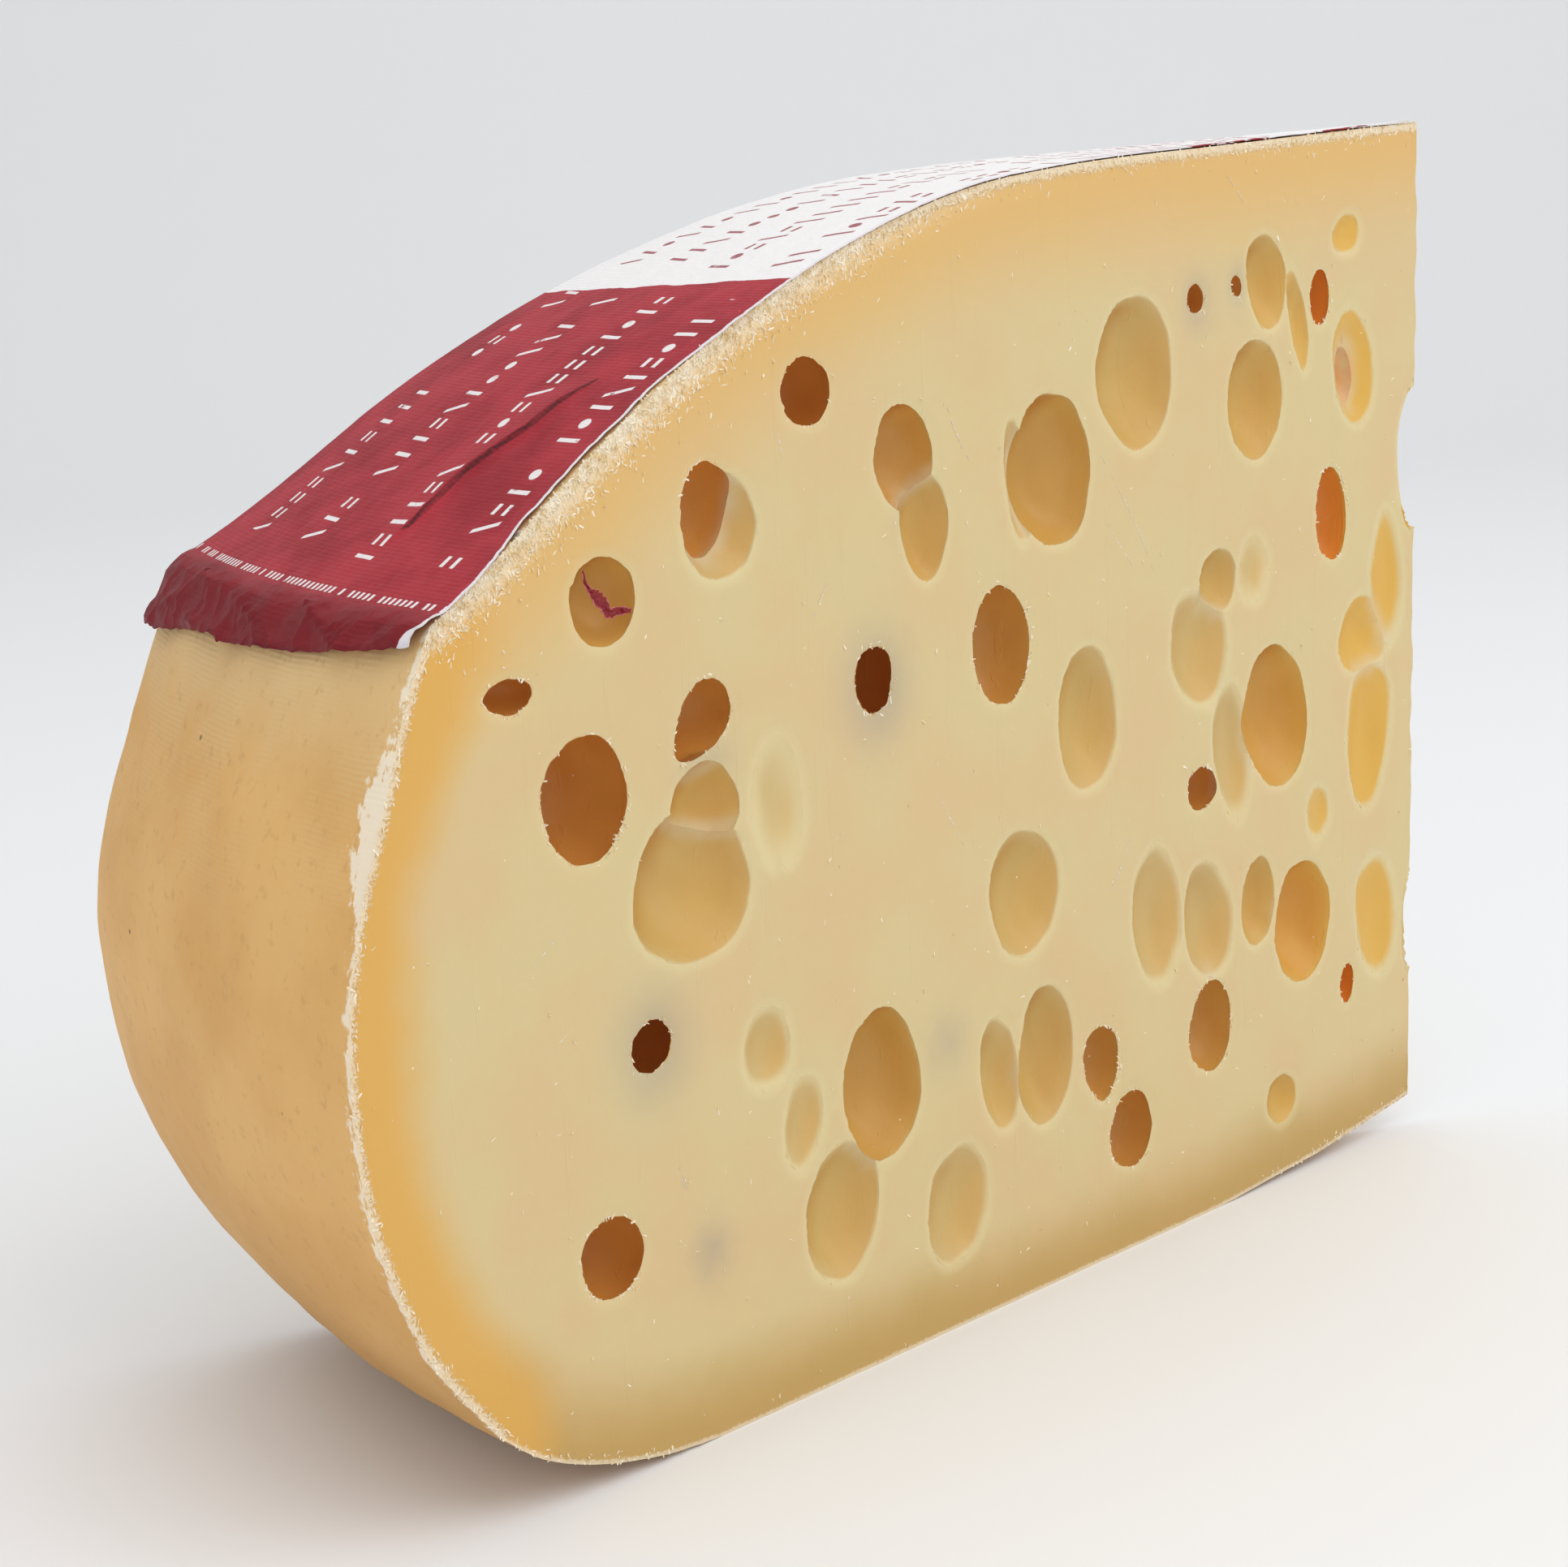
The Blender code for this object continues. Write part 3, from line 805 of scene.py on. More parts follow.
def paste_material():
    made, tree, shader = new_material("emmental_paste_cut")
    place_at = add(tree, "ShaderNodeTexCoord", out="Object")
    at = {name: add(tree, "ATTRIBUTE", attribute_name=name) for name in MEASURED}
    cloudy = add(tree, "NOISE", place_at, 1 / (30 * MM), 3)
    paste = add(tree, "BLEND", add(tree, "RAMP", cloudy, 0.35, 0.65), colour(PASTE_PALE),
                colour(PASTE_WARM))
    for name, near, far, share, tint in BANDS:
        paste = paint(tree, paste, add(tree, "RAMP", ragged(tree, at[name], cloudy, BAND_WANDER), far, near),
                      share, tint)
    # Painted grey shade round deep and hidden eyes; it also dims the painted lip light there.
    cavity_shade = add(tree, "MULTIPLY", at["cavity_shade"], 0.75)
    paste = add(tree, "BLEND", cavity_shade, paste, colour(CAVITY_SHADE_GREY))

    lip_glow = add(tree, "MULTIPLY", add(tree, "RAMP", at["lip"], 2.8, 0.0),
                   add(tree, "SUBTRACT", 1.0, cavity_shade))
    shy = add(tree, "SUBTRACT", 0.38, add(tree, "MULTIPLY", at["deep_share"], 0.25))
    paste = paint(tree, paste, lip_glow, shy, LIP_LIGHT)
    # Painted shade and bounce light in the eyes, then painted glow at the thin tip, painted light on each
    # eye's lit side and painted shade on its dim side.
    steps = add(tree, "ShaderNodeValToRGB", Fac=at["hollow"])
    elements = steps.node.color_ramp.elements
    while len(elements) < len(HOLLOW_SHADE_STEPS):
        elements.new(0.5)
    for element, (share, tint) in zip(elements, HOLLOW_SHADE_STEPS):
        element.position = share
        element.color = colour(tint)
    at_tip = add(tree, "RAMP", add(tree, "ShaderNodeSeparateXYZ", Vector=place_at, out="X"), *TIP_GLOWS)
    glow = add(tree, "BLEND", add(tree, "RAMP", at["hollow"], 0.2, 0.7), colour(GLOW_YELLOW),
               colour(GLOW_ORANGE))
    lit_side = add(tree, "MULTIPLY", add(tree, "RAMP", at["lit"], 0.45, 1.0), 0.45)
    eye_shade_and_glow = add(tree, "BLEND", lit_side, steps, colour(LIT_SIDE))
    eye_shade_and_glow = add(tree, "BLEND", add(tree, "MULTIPLY", at_tip, 0.85), eye_shade_and_glow, glow)
    dim_side = add(tree, "MULTIPLY", add(tree, "RAMP", at["lit"], 0.5, 0.0),
                   add(tree, "RAMP", at["hollow"], 0.0, 0.45))
    eye_shade_and_glow = add(tree, "BLEND", dim_side, eye_shade_and_glow, colour(DIM_SIDE), blend_type="MULTIPLY")
    shown = add(tree, "MULTIPLY", at["hollow"], add(tree, "ADD", 1.0, add(tree, "MULTIPLY", at_tip, 2.0)))
    deep = add(tree, "BLEND", add(tree, "RAMP", shown, 0.0, 0.07), paste, eye_shade_and_glow)
    # Thin walls between eyes are painted paler, as painted light shining through them.
    deep = paint(tree, deep, at["thin"], 0.5, THIN_WALL_GLOW)

    edge = add(tree, "MINIMUM", at["from_top"], at["from_rim"])
    grain = add(tree, "NOISE", place_at, 1 / (0.9 * MM), 3, 0.65)
    frayed = ragged(tree, edge, grain, 5.0)
    crumbly = add(tree, "RAMP", frayed, 2.6, 1.0)
    whole = paint(tree, deep, crumbly, 0.7, CRUMB_WHITE)
    to_rim = add(tree, "RAMP", add(tree, "ShaderNodeSeparateXYZ", Vector=place_at, out="X"), *RIM_FLUFFY)
    fluff = ragged(tree, at["from_top"], grain, 8.0)
    fluff = add(tree, "MULTIPLY", add(tree, "RAMP", fluff, 6.0, 2.0), add(tree, "MULTIPLY", to_rim, 0.6))
    whole = add(tree, "BLEND", fluff, whole, colour(CRUMB_WHITE))

    specks = add(tree, "ShaderNodeTexVoronoi", feature="F1", Vector=place_at, Scale=1 / (9 * MM))
    speck = add(tree, "RAMP", specks, 0.035, 0.02)
    whole = paint(tree, whole, speck, 0.7, CRUMB_WHITE)
    base_edge = ragged(tree, at["from_base"], grain, 2.0)
    whole = paint(tree, whole, add(tree, "RAMP", base_edge, 1.3, 0.5), 0.55, CRUMB_WHITE)
    tree.links.new(whole, shader.inputs["Base Color"])

    scratch = add(tree, "NOISE", add(tree, "ShaderNodeMapping", Vector=place_at, Scale=(1.0, 1.0, 0.05)),
                  1 / (3.0 * MM), 3, 0.6)
    fine = add(tree, "NOISE", place_at, 1 / (0.5 * MM), 3)
    relief = add(tree, "ADD", add(tree, "MULTIPLY", fine, 0.35),
                 add(tree, "MULTIPLY", add(tree, "RAMP", scratch, 0.62, 0.7), 0.5))
    relief = add(tree, "ADD", relief, add(tree, "MULTIPLY", add(tree, "MULTIPLY", grain, crumbly), 3.5))
    tree.links.new(add(tree, "ShaderNodeBump", Height=relief, Distance=0.12 * MM),
                   shader.inputs["Normal"])
    dull = add(tree, "ADD", 0.42, add(tree, "MULTIPLY", crumbly, 0.35))
    tree.links.new(add(tree, "ADD", dull, add(tree, "MULTIPLY", fine, 0.08)),
                   shader.inputs["Roughness"])
    shader.inputs["IOR"].default_value = 1.45
    return made


# %% [markdown]
# The rind is the same paste dried to a skin, tan and matt. The wheel rested in cloth and
# was rubbed, so fine lines of its weave run round the rim. It is paler just below the
# paper, scraped white along the cut, and carries a few dark, sunken specks.

# %% Material of the rind
RIND_TAN = "#DEAA62"
RIND_PEACH = "#E8B770"
RIND_BROWN = "#B98A4A"
RIND_PALE = "#E6CD9A"
RIND_CHALK = "#FFF4DE"
RIND_DARK = "#5E4326"
CLOTH_PITCH = 1.1
CLOTH_FADES = (0.110, 0.165)
BROWN_BELOW = (0.075, 0.005)
PALE_ABOVE = (0.150, 0.178)
SCRAPED_HEIGHT = 150.0
SCRAPED_FADES = (0.020, 0.004)
SCRAPED_EXTRA = 5.5


def rind_material():
    made, tree, shader = new_material("emmental_rind_rubbed")
    place_at = add(tree, "ShaderNodeTexCoord", out="Object")
    map_at = add(tree, "ShaderNodeUVMap", uv_map="rind_map")
    cloudy = add(tree, "NOISE", place_at, 1 / (40 * MM), 4)
    rind = add(tree, "BLEND", add(tree, "RAMP", cloudy, 0.35, 0.68), colour(RIND_TAN), colour(RIND_PEACH))
    height = add(tree, "ShaderNodeSeparateXYZ", Vector=place_at, out="Z")
    rind = paint(tree, rind, add(tree, "RAMP", height, *BROWN_BELOW), 0.75, RIND_BROWN)
    rind = paint(tree, rind, add(tree, "RAMP", height, *PALE_ABOVE), 0.45, RIND_PALE)
    warped = add(tree, "ShaderNodeTexNoise", Vector=place_at, Scale=1 / (25 * MM), out="Color")
    bent = add(tree, "ShaderNodeVectorMath", warped, (2.5, 2.5, 0), map_at, operation="MULTIPLY_ADD")
    threads = []
    for direction in ("X", "Y"):
        threads.append(add(tree, "ShaderNodeTexWave", bands_direction=direction, Vector=bent,
                           Scale=math.pi / 10 / CLOTH_PITCH, Distortion=0.0, out="Fac"))
    weave = add(tree, "ADD", add(tree, "MULTIPLY", threads[1], 0.7),
                add(tree, "MULTIPLY", threads[0], 0.4))
    patchy = add(tree, "RAMP", add(tree, "NOISE", place_at, 1 / (18 * MM), 3), 0.35, 0.62)
    weave = add(tree, "MULTIPLY", weave, patchy)
    weave = add(tree, "MULTIPLY", weave, add(tree, "RAMP", height, *CLOTH_FADES))
    rind = paint(tree, rind, weave, 0.3, RIND_PALE)
    mottle = add(tree, "NOISE", place_at, 1 / (3.5 * MM), 4, 0.6)
    rind = paint(tree, rind, add(tree, "RAMP", mottle, 0.55, 0.75), 0.35, RIND_BROWN)
    beside_cut = add(tree, "ABSOLUTE", add(tree, "ShaderNodeSeparateXYZ", Vector=map_at, out="X"))
    frayed = ragged(tree, beside_cut, mottle, 9.0)
    patch_at = off_by(tree, height, SCRAPED_HEIGHT * MM)
    patch = add(tree, "RAMP", patch_at, *SCRAPED_FADES)
    frayed = add(tree, "SUBTRACT", frayed, add(tree, "MULTIPLY", patch, SCRAPED_EXTRA))
    strands = add(tree, "NOISE", add(tree, "ShaderNodeMapping", Vector=place_at, Scale=(1, 1, 0.25)),
                  1 / (1.6 * MM), 3, 0.6)
    frayed = add(tree, "ADD", frayed, add(tree, "MULTIPLY", add(tree, "RAMP", strands, 0.48, 0.62), 2.6))
    scraped = add(tree, "RAMP", frayed, 2.9, 1.2)
    rind = paint(tree, rind, scraped, 0.8, RIND_CHALK)
    pits = add(tree, "ShaderNodeTexVoronoi", feature="F1", Vector=place_at, Scale=1 / (14 * MM))
    pit = add(tree, "RAMP", pits, 0.05, 0.02)
    rind = paint(tree, rind, pit, 0.7, RIND_DARK)
    tree.links.new(rind, shader.inputs["Base Color"])
    relief = add(tree, "ADD", add(tree, "MULTIPLY", weave, 0.35), mottle)
    relief = add(tree, "SUBTRACT", relief, add(tree, "MULTIPLY", pit, 2.0))
    tree.links.new(add(tree, "ShaderNodeBump", Height=relief, Distance=0.22 * MM),
                   shader.inputs["Normal"])
    shader.inputs["Roughness"].default_value = 0.62
    shader.inputs["IOR"].default_value = 1.45
    return made


# %% [markdown]
# Faces of the skin get the rind and all others the paste. Edges sharper than a bend of
# skin or wall stay crisp, so that the lips and the cut edges keep their line.

# %% Put the cheese together
SHARP_ANGLE = math.radians(38)

paste_look = paste_material()
rind_look = rind_material()
cheese_mesh.name = "cheese"
cheese_mesh.materials.clear()
cheese_mesh.materials.append(paste_look)
cheese_mesh.materials.append(rind_look)
cheese_mesh.polygons.foreach_set("material_index", skin_faces.astype(np.int32))
cheese_mesh.polygons.foreach_set("use_smooth", np.ones(len(cheese_mesh.polygons), bool))
cheese_mesh.set_sharp_from_angle(angle=SHARP_ANGLE)
cheese_mesh.update()
cheese = in_scene("cheese", cheese_mesh)
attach(cheese, "root")
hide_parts("paste")
print("materials of the cheese:", [look.name for look in cheese_mesh.materials])

# %% [markdown]
# The cut breaks the dry edge below the paper into crumbs, which cling to the face in a band
# a few millimetres wide. Geometry Nodes scatters shards over the cut face, as many as the
# attribute of that face says, and turns them into plain mesh at their true size. The
# blade also drew fine threads out of the paste, which lie on the cut face in short bits.

# %% Crumbs and threads along the cut
CRUMB_BAND = 3.9
CRUMB_RIM = 1.0
CRUMB_FADES = (150, 235)
CRUMB_SEED = 3
CRUMB_LENGTH = 2.0
CRUMB_LOWEST = 1.6
CRUMB_DENSITY = 5.5e6
CRUMB_PALE = "#FAF0DB"
CRUMB_DRY = "#E8CF9E"


def crumb_places():
    """The near cut face near the rind, with how crumbly each of its points is."""
    fades = smooth_step(flat_places[:, 0], *CRUMB_FADES)
    band = np.exp(-(from_top / (CRUMB_BAND * (0.45 + 0.55 * fades))) ** 1.8) * (0.25 + 0.75 * fades)
    band += 0.5 * np.exp(-(from_rim / CRUMB_RIM) ** 2) + 0.25 * np.exp(-(from_base / 0.8) ** 2)
    torn_lips = 0.3 * np.exp(-(lip / 0.3) ** 2) * (deep_share > 0.55)
    amount = np.clip(band + torn_lips + 0.0008, 0, 1) * (points[:, 2] > CRUMB_LOWEST)
    firsts = starts[near_faces]
    faces = [tuple(corners[first:first + total]) for first, total in zip(firsts, totals[near_faces])]
    mesh = new_mesh("crumb_places", moved * MM, faces)
    write_attribute(mesh, "crumbly", np.where(on_near, amount, 0))
    return mesh


def crumb_material():
    made, tree, shader = new_material("cheese_crumbs_dry")
    place_at = add(tree, "ShaderNodeTexCoord", out="Object")
    shade = add(tree, "NOISE", place_at, 1 / (2.5 * MM), 2)
    tint = add(tree, "BLEND", add(tree, "RAMP", shade, 0.35, 0.7), colour(CRUMB_PALE), colour(CRUMB_DRY))
    tree.links.new(tint, shader.inputs["Base Color"])
    shader.inputs["Roughness"].default_value = 0.6
    return made


def crumb_tree():
    tree = bpy.data.node_groups.new("scatter_crumbs", "GeometryNodeTree")
    for name, kind in (("Geometry", "NodeSocketGeometry"), ("Density", "NodeSocketFloat"),
                       ("Length", "NodeSocketFloat"), ("Seed", "NodeSocketInt"),
                       ("Material", "NodeSocketMaterial")):
        tree.interface.new_socket(name=name, in_out="INPUT", socket_type=kind)
    tree.interface.new_socket(name="Geometry", in_out="OUTPUT", socket_type="NodeSocketGeometry")
    given = tree.nodes.new("NodeGroupInput").outputs
    crumbly = add(tree, "GeometryNodeInputNamedAttribute", data_type="FLOAT", Name="crumbly")
    density = add(tree, "MULTIPLY", given["Density"], crumbly)
    spots = add(tree, "GeometryNodeDistributePointsOnFaces", Mesh=given["Geometry"], Density=density,
                Seed=given["Seed"])
    grain = add(tree, "GeometryNodeMeshIcoSphere", Radius=0.5, Subdivisions=1, out="Mesh")
    spot = add(tree, "GeometryNodeInputPosition")
    wild = add(tree, "ShaderNodeTexNoise", Vector=spot, Scale=2.3, Detail=1.0, out="Color")
    shift = add(tree, "ShaderNodeVectorMath", wild, (0.5, 0.5, 0.5), operation="SUBTRACT")
    shard = add(tree, "GeometryNodeSetPosition", Geometry=grain, Offset=shift)
    turn = add(tree, "FunctionNodeRandomValue", (0, 0, 0), (math.tau, math.tau, math.tau),
               data_type="FLOAT_VECTOR", Seed=given["Seed"])
    long = add(tree, "FunctionNodeRandomValue", None, None, 0.3, 1.0, data_type="FLOAT",
               Seed=given["Seed"], out=1)
    long = add(tree, "MULTIPLY", long, given["Length"])
    slim = add(tree, "FunctionNodeRandomValue", (0.7, 0.16, 0.14), (1.3, 0.36, 0.28),
               data_type="FLOAT_VECTOR", Seed=given["Seed"])
    size = add(tree, "ShaderNodeVectorMath", slim, operation="SCALE", Scale=long)
    placed = add(tree, "GeometryNodeInstanceOnPoints", Points=spots, Instance=shard, Rotation=turn,
                 Scale=size)
    real = add(tree, "GeometryNodeRealizeInstances", Geometry=placed)
    done = add(tree, "GeometryNodeSetMaterial", Geometry=real, Material=given["Material"])
    add(tree, "NodeGroupOutput", Geometry=done)
    return tree


def scatter(mesh, name, tree, **values):
    """Runs the tree over the mesh and keeps its result as a plain mesh object."""
    holder = in_scene("places", mesh)
    nodes = holder.modifiers.new("scatter", "NODES")
    nodes.node_group = tree
    for item in tree.interface.items_tree:
        if item.in_out == "INPUT" and item.name in values:
            nodes[item.identifier] = values[item.name]
    holder.update_tag()
    seen = holder.evaluated_get(bpy.context.evaluated_depsgraph_get())
    made = bpy.data.meshes.new_from_object(seen)
    made.name = name
    bpy.data.objects.remove(holder)
    piece = in_scene(name, made)
    print(name, "triangles:", sum(len(face.vertices) - 2 for face in made.polygons))
    return piece


THREADS = [(128, 198, 110, 170), (126, 182, 118, 172), (304, 117, 297, 122), (180, 214, 174, 203),
           (232, 214, 231, 209), (186, 128, 179, 116), (120, 105, 127, 94), (301, 98, 296, 101),
           (223, 175, 219, 181), (269, 64, 268, 60), (268, 62, 267, 59), (80, 260, 74, 254)]
THREAD_WIDE = 0.11
THREAD_STEP = 1.5
THREAD_GAPS = 0.25
THREAD_BOW = 0.05


def knife_threads():
    """Fine threads of paste that the blade drew out, lying on the near cut."""
    draw = random.Random(CRUMB_SEED)
    vertices, faces = [], []
    for x0, z0, x1, z1 in THREADS:
        length = math.hypot(x1 - x0, z1 - z0)
        count = max(3, round(length / THREAD_STEP))
        bow = draw.uniform(-THREAD_BOW, THREAD_BOW) * length
        side = np.array((-(z1 - z0), x1 - x0)) / length
        for i in range(count + 1):
            t = i / count
            if draw.random() < THREAD_GAPS and 0 < i < count:
                continue
            middle = np.array((x0 + (x1 - x0) * t, z0 + (z1 - z0) * t)) + side * bow * 4 * t * (1 - t)
            ahead = np.array((x1 - x0, z1 - z0)) / length * 0.75
            wide = side * THREAD_WIDE * draw.uniform(0.3, 1.0) * (0.3 + math.sin(math.pi * t))
            first = len(vertices)
            for end, back in ((-ahead, 0.02), (wide, -0.1), (ahead, 0.02), (-wide, -0.1)):
                spot = middle + end
                vertices.append(((CENTRE_X - spot[0]) * MM, (back + 0.06 - CENTRE_Y) * MM, spot[1] * MM))
            vertices.append(((CENTRE_X - middle[0]) * MM, (0.3 - CENTRE_Y) * MM, middle[1] * MM))
            for a, b in ((0, 1), (1, 2), (2, 3), (3, 0)):
                faces.append((first + a, first + b, first + 4))
            faces.append((first + 3, first + 2, first + 1, first))
    mesh = new_mesh("threads", vertices, faces)
    return mesh


crumbs = scatter(crumb_places(), "crumbs", crumb_tree(), Density=CRUMB_DENSITY,
                 Length=CRUMB_LENGTH * MM, Seed=CRUMB_SEED, Material=crumb_material())
threads = in_scene("knife_threads", knife_threads())
threads.data.materials.append(crumbs.data.materials[0])
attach(threads, "root")
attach(crumbs, "root")
print("thread faces:", len(threads.data.polygons))

# %% [markdown]
# The paper covers the top from the tip to the shoulder and hangs a finger's breadth over
# the rim. It was glued on wet and dried in creases: one long fold runs slantwise through
# the red field, the near edge is torn and lifts a little, and the flap is crumpled. A grid
# in millimetres is laid over the section, and each point is lifted by these forms.

# %% The paper
PAPER_THICK = 0.22
PAPER_LIFT = 0.25
PAPER_TIP = 4.0
PAPER_COLUMNS = 125
PAPER_SPACING = 1.5
FLAP_LENGTHS = [(0.0, 7.0), (0.1, 9.2), (0.3, 12.0), (0.5, 13.8), (0.56, 14.3), (0.6, 13.4),
                (0.75, 14.5), (0.9, 17.5), (1.0, 18.0)]
EDGE_TEAR = [(0, 0.4), (225, 0.5), (238, 0.2), (252, 0.5), (264, 1.8), (272, 2.2), (280, 1.0),
             (290, 1.9), (300, 2.2), (318, 1.6), (322, 0.4), (342, 0.3), (347, 1.2), (352, 2.6)]
LONG_FOLD = [(262, 19), (270, 22), (278, 25.5), (286, 27), (291, 30), (301, 34.6), (308, 35.2),
             (315, 36), (322, 38), (330, 41)]
FOLD_LIFT = 1.25
FOLD_STEEP = 0.5
FOLD_SLOPE = 8.0
FOLD_STARTS = (266, 284)
FOLD_ENDS = (312, 326)
LOOSE_FROM = (262, 285)
LOOSE_TO = (318, 330)


def paper_section():
    top = smooth_line(TOP_KNOTS)
    length = np.linalg.norm(np.diff(top, axis=0), axis=1).sum()
    rim = smooth_line(RIM_KNOTS)
    line = np.concatenate([top[:-1], rim[rim[:, 1] > 150]])
    return resample(line, 0.5), length


def table(knots, at):
    return np.interp(at, *np.array(knots, float).T)


def fold_lift(s, v):
    """The long fold: steep on the side towards the near cut, and sloping away behind."""
    off = v - table(LONG_FOLD, s)
    run = smooth_step(s, *FOLD_STARTS) * (1 - smooth_step(s, *FOLD_ENDS))
    return FOLD_LIFT * run * np.where(off > 0, np.exp(-off / FOLD_SLOPE), np.exp(off / FOLD_STEEP))


def crumple(spot):
    """Ridges of crumpled paper, from 0 to about 1."""
    return sum((1 - 2 * abs(noise.noise(spot * k))) ** 3 / k for k in (1.0, 2.1, 4.3)) * 0.55


def paper_mesh():
    line, shoulder = paper_section()
    step = np.linalg.norm(np.diff(line, axis=0), axis=1)
    along = np.concatenate([[0], np.cumsum(step)])
    way = np.gradient(line, axis=0)
    way /= np.linalg.norm(way, axis=1)[:, None]
    out = np.stack([-way[:, 1], way[:, 0]], -1)
    rows = round((shoulder + 14 - PAPER_TIP) / PAPER_SPACING)
    vertices, places, torn_edge, folded = [], [], [], []
    for r in range(rows + 1):
        for c in range(PAPER_COLUMNS + 1):
            share = c / PAPER_COLUMNS
            flap = table(FLAP_LENGTHS, share) + 0.5 * noise.noise(Vector((share * 38, 0, 0)))
            s = PAPER_TIP + (shoulder - 1.5 + flap - PAPER_TIP) * r / rows
            u, z, nu, nz = (np.interp(s, along, part) for part in (*line.T, *out.T))
            near = table(EDGE_TEAR, s) + 0.35 * noise.noise(Vector((s / 1.8, 0, 2))) * min(1, u / 60)
            first = near / u
            angle = first + (WEDGE_ANGLE - 0.5 / u - first) * share
            v = u * math.sin(angle)
            spot = Vector((s / 16, v / 16, 0))
            lift = PAPER_LIFT + 0.25 * abs(noise.noise(spot)) + 0.12 * abs(noise.noise(spot * 3.1))
            lift += fold_lift(s, v)
            hang = smooth_step(s, shoulder - 4, shoulder + 3)
            lift += hang * (0.9 + 2.6 * crumple(Vector((v / 26, s / 13, 3.3))))
            loose = smooth_step(s, *LOOSE_FROM) * (1 - smooth_step(s, *LOOSE_TO)) * 0.9 + 0.08
            loose *= math.exp(-(v - near) / 3.5)
            lift += loose * (0.7 + 0.6 * noise.noise(Vector((s / 7, 1, 1))))
            vertices.append(place(u + nu * lift, angle, z + nz * lift))
            places.append((s, math.degrees(angle)))
            torn_edge.append(v - near)
            past_ends = 1 - smooth_step(s, 264, 270) + smooth_step(s, 318, 324)
            folded.append(abs(v - table(LONG_FOLD, s) + 0.3) + 3 * past_ends)
    wide = PAPER_COLUMNS + 1
    faces = [(r * wide + c, (r + 1) * wide + c, (r + 1) * wide + c + 1, r * wide + c + 1)
             for r in range(rows) for c in range(PAPER_COLUMNS)]
    mesh = new_mesh("label_paper", vertices, faces)
    paper_map = mesh.uv_layers.new(name="paper_map")
    places = np.array(places)
    _, _, mesh_corners = corner_lists(mesh)
    paper_map.data.foreach_set("uv", places[mesh_corners].astype(np.float32).ravel())
    write_attribute(mesh, "torn_edge", torn_edge)
    write_attribute(mesh, "folded", folded)
    return mesh, shoulder


label_mesh, SHOULDER = paper_mesh()
print("paper from the axis to the shoulder in mm:", round(SHOULDER, 1))

# %% [markdown]
# The print is left plain. Short bars, dots and pairs of dashes stand in rows that run from
# the middle of the wheel to its rim, white on the red field and dark red on the white one.
# All of it is worked out from the map, whose two numbers are the distance along the paper
# in millimetres and the angle in degrees. The paper is thin and a little shiny, ribbed
# by the machine, and shows its white core where it tears.

# %% Material of the paper
PAPER_RED = "#B02B38"
PAPER_RED_WORN = "#971B28"
# Painted shade: the darker red of the flap that turns down over the rim.
FLAP_SHADE_RED = "#7E101B"
PAPER_WHITE = "#F4F1F0"
PAPER_CORE = "#E9E2E6"
INK_RED = "#9A3442"
# Painted shadow along the long fold.
FOLD_SHADOW = "#5A0F18"
FIELD_EDGE = 228.0
FIELD_SLANT = 0.5
ROW_FIRST = 2.3
ROW_PITCH = 5.4
MARK_PITCH = 5.2
MARK_HALF = 3.3
STROKE = 0.6
MARK_SOFT = 0.12
DASH_HALF = 1.6
DASH_APART = 1.7
DOT_RADIUS = 1.5
ROW_SHIFT = 2.9
SMALL_PITCH = 1.9
SMALL_RADIUS = 322.0
PRINTED_RED = (59, 45)
PRINTED_WHITE = (140, 84)
TORN_OFF = ((78, 15.5, 14.5), (33, 11.5, 10.5))
SMALL_ROW = 4.2
RIB_PITCH = 1.1


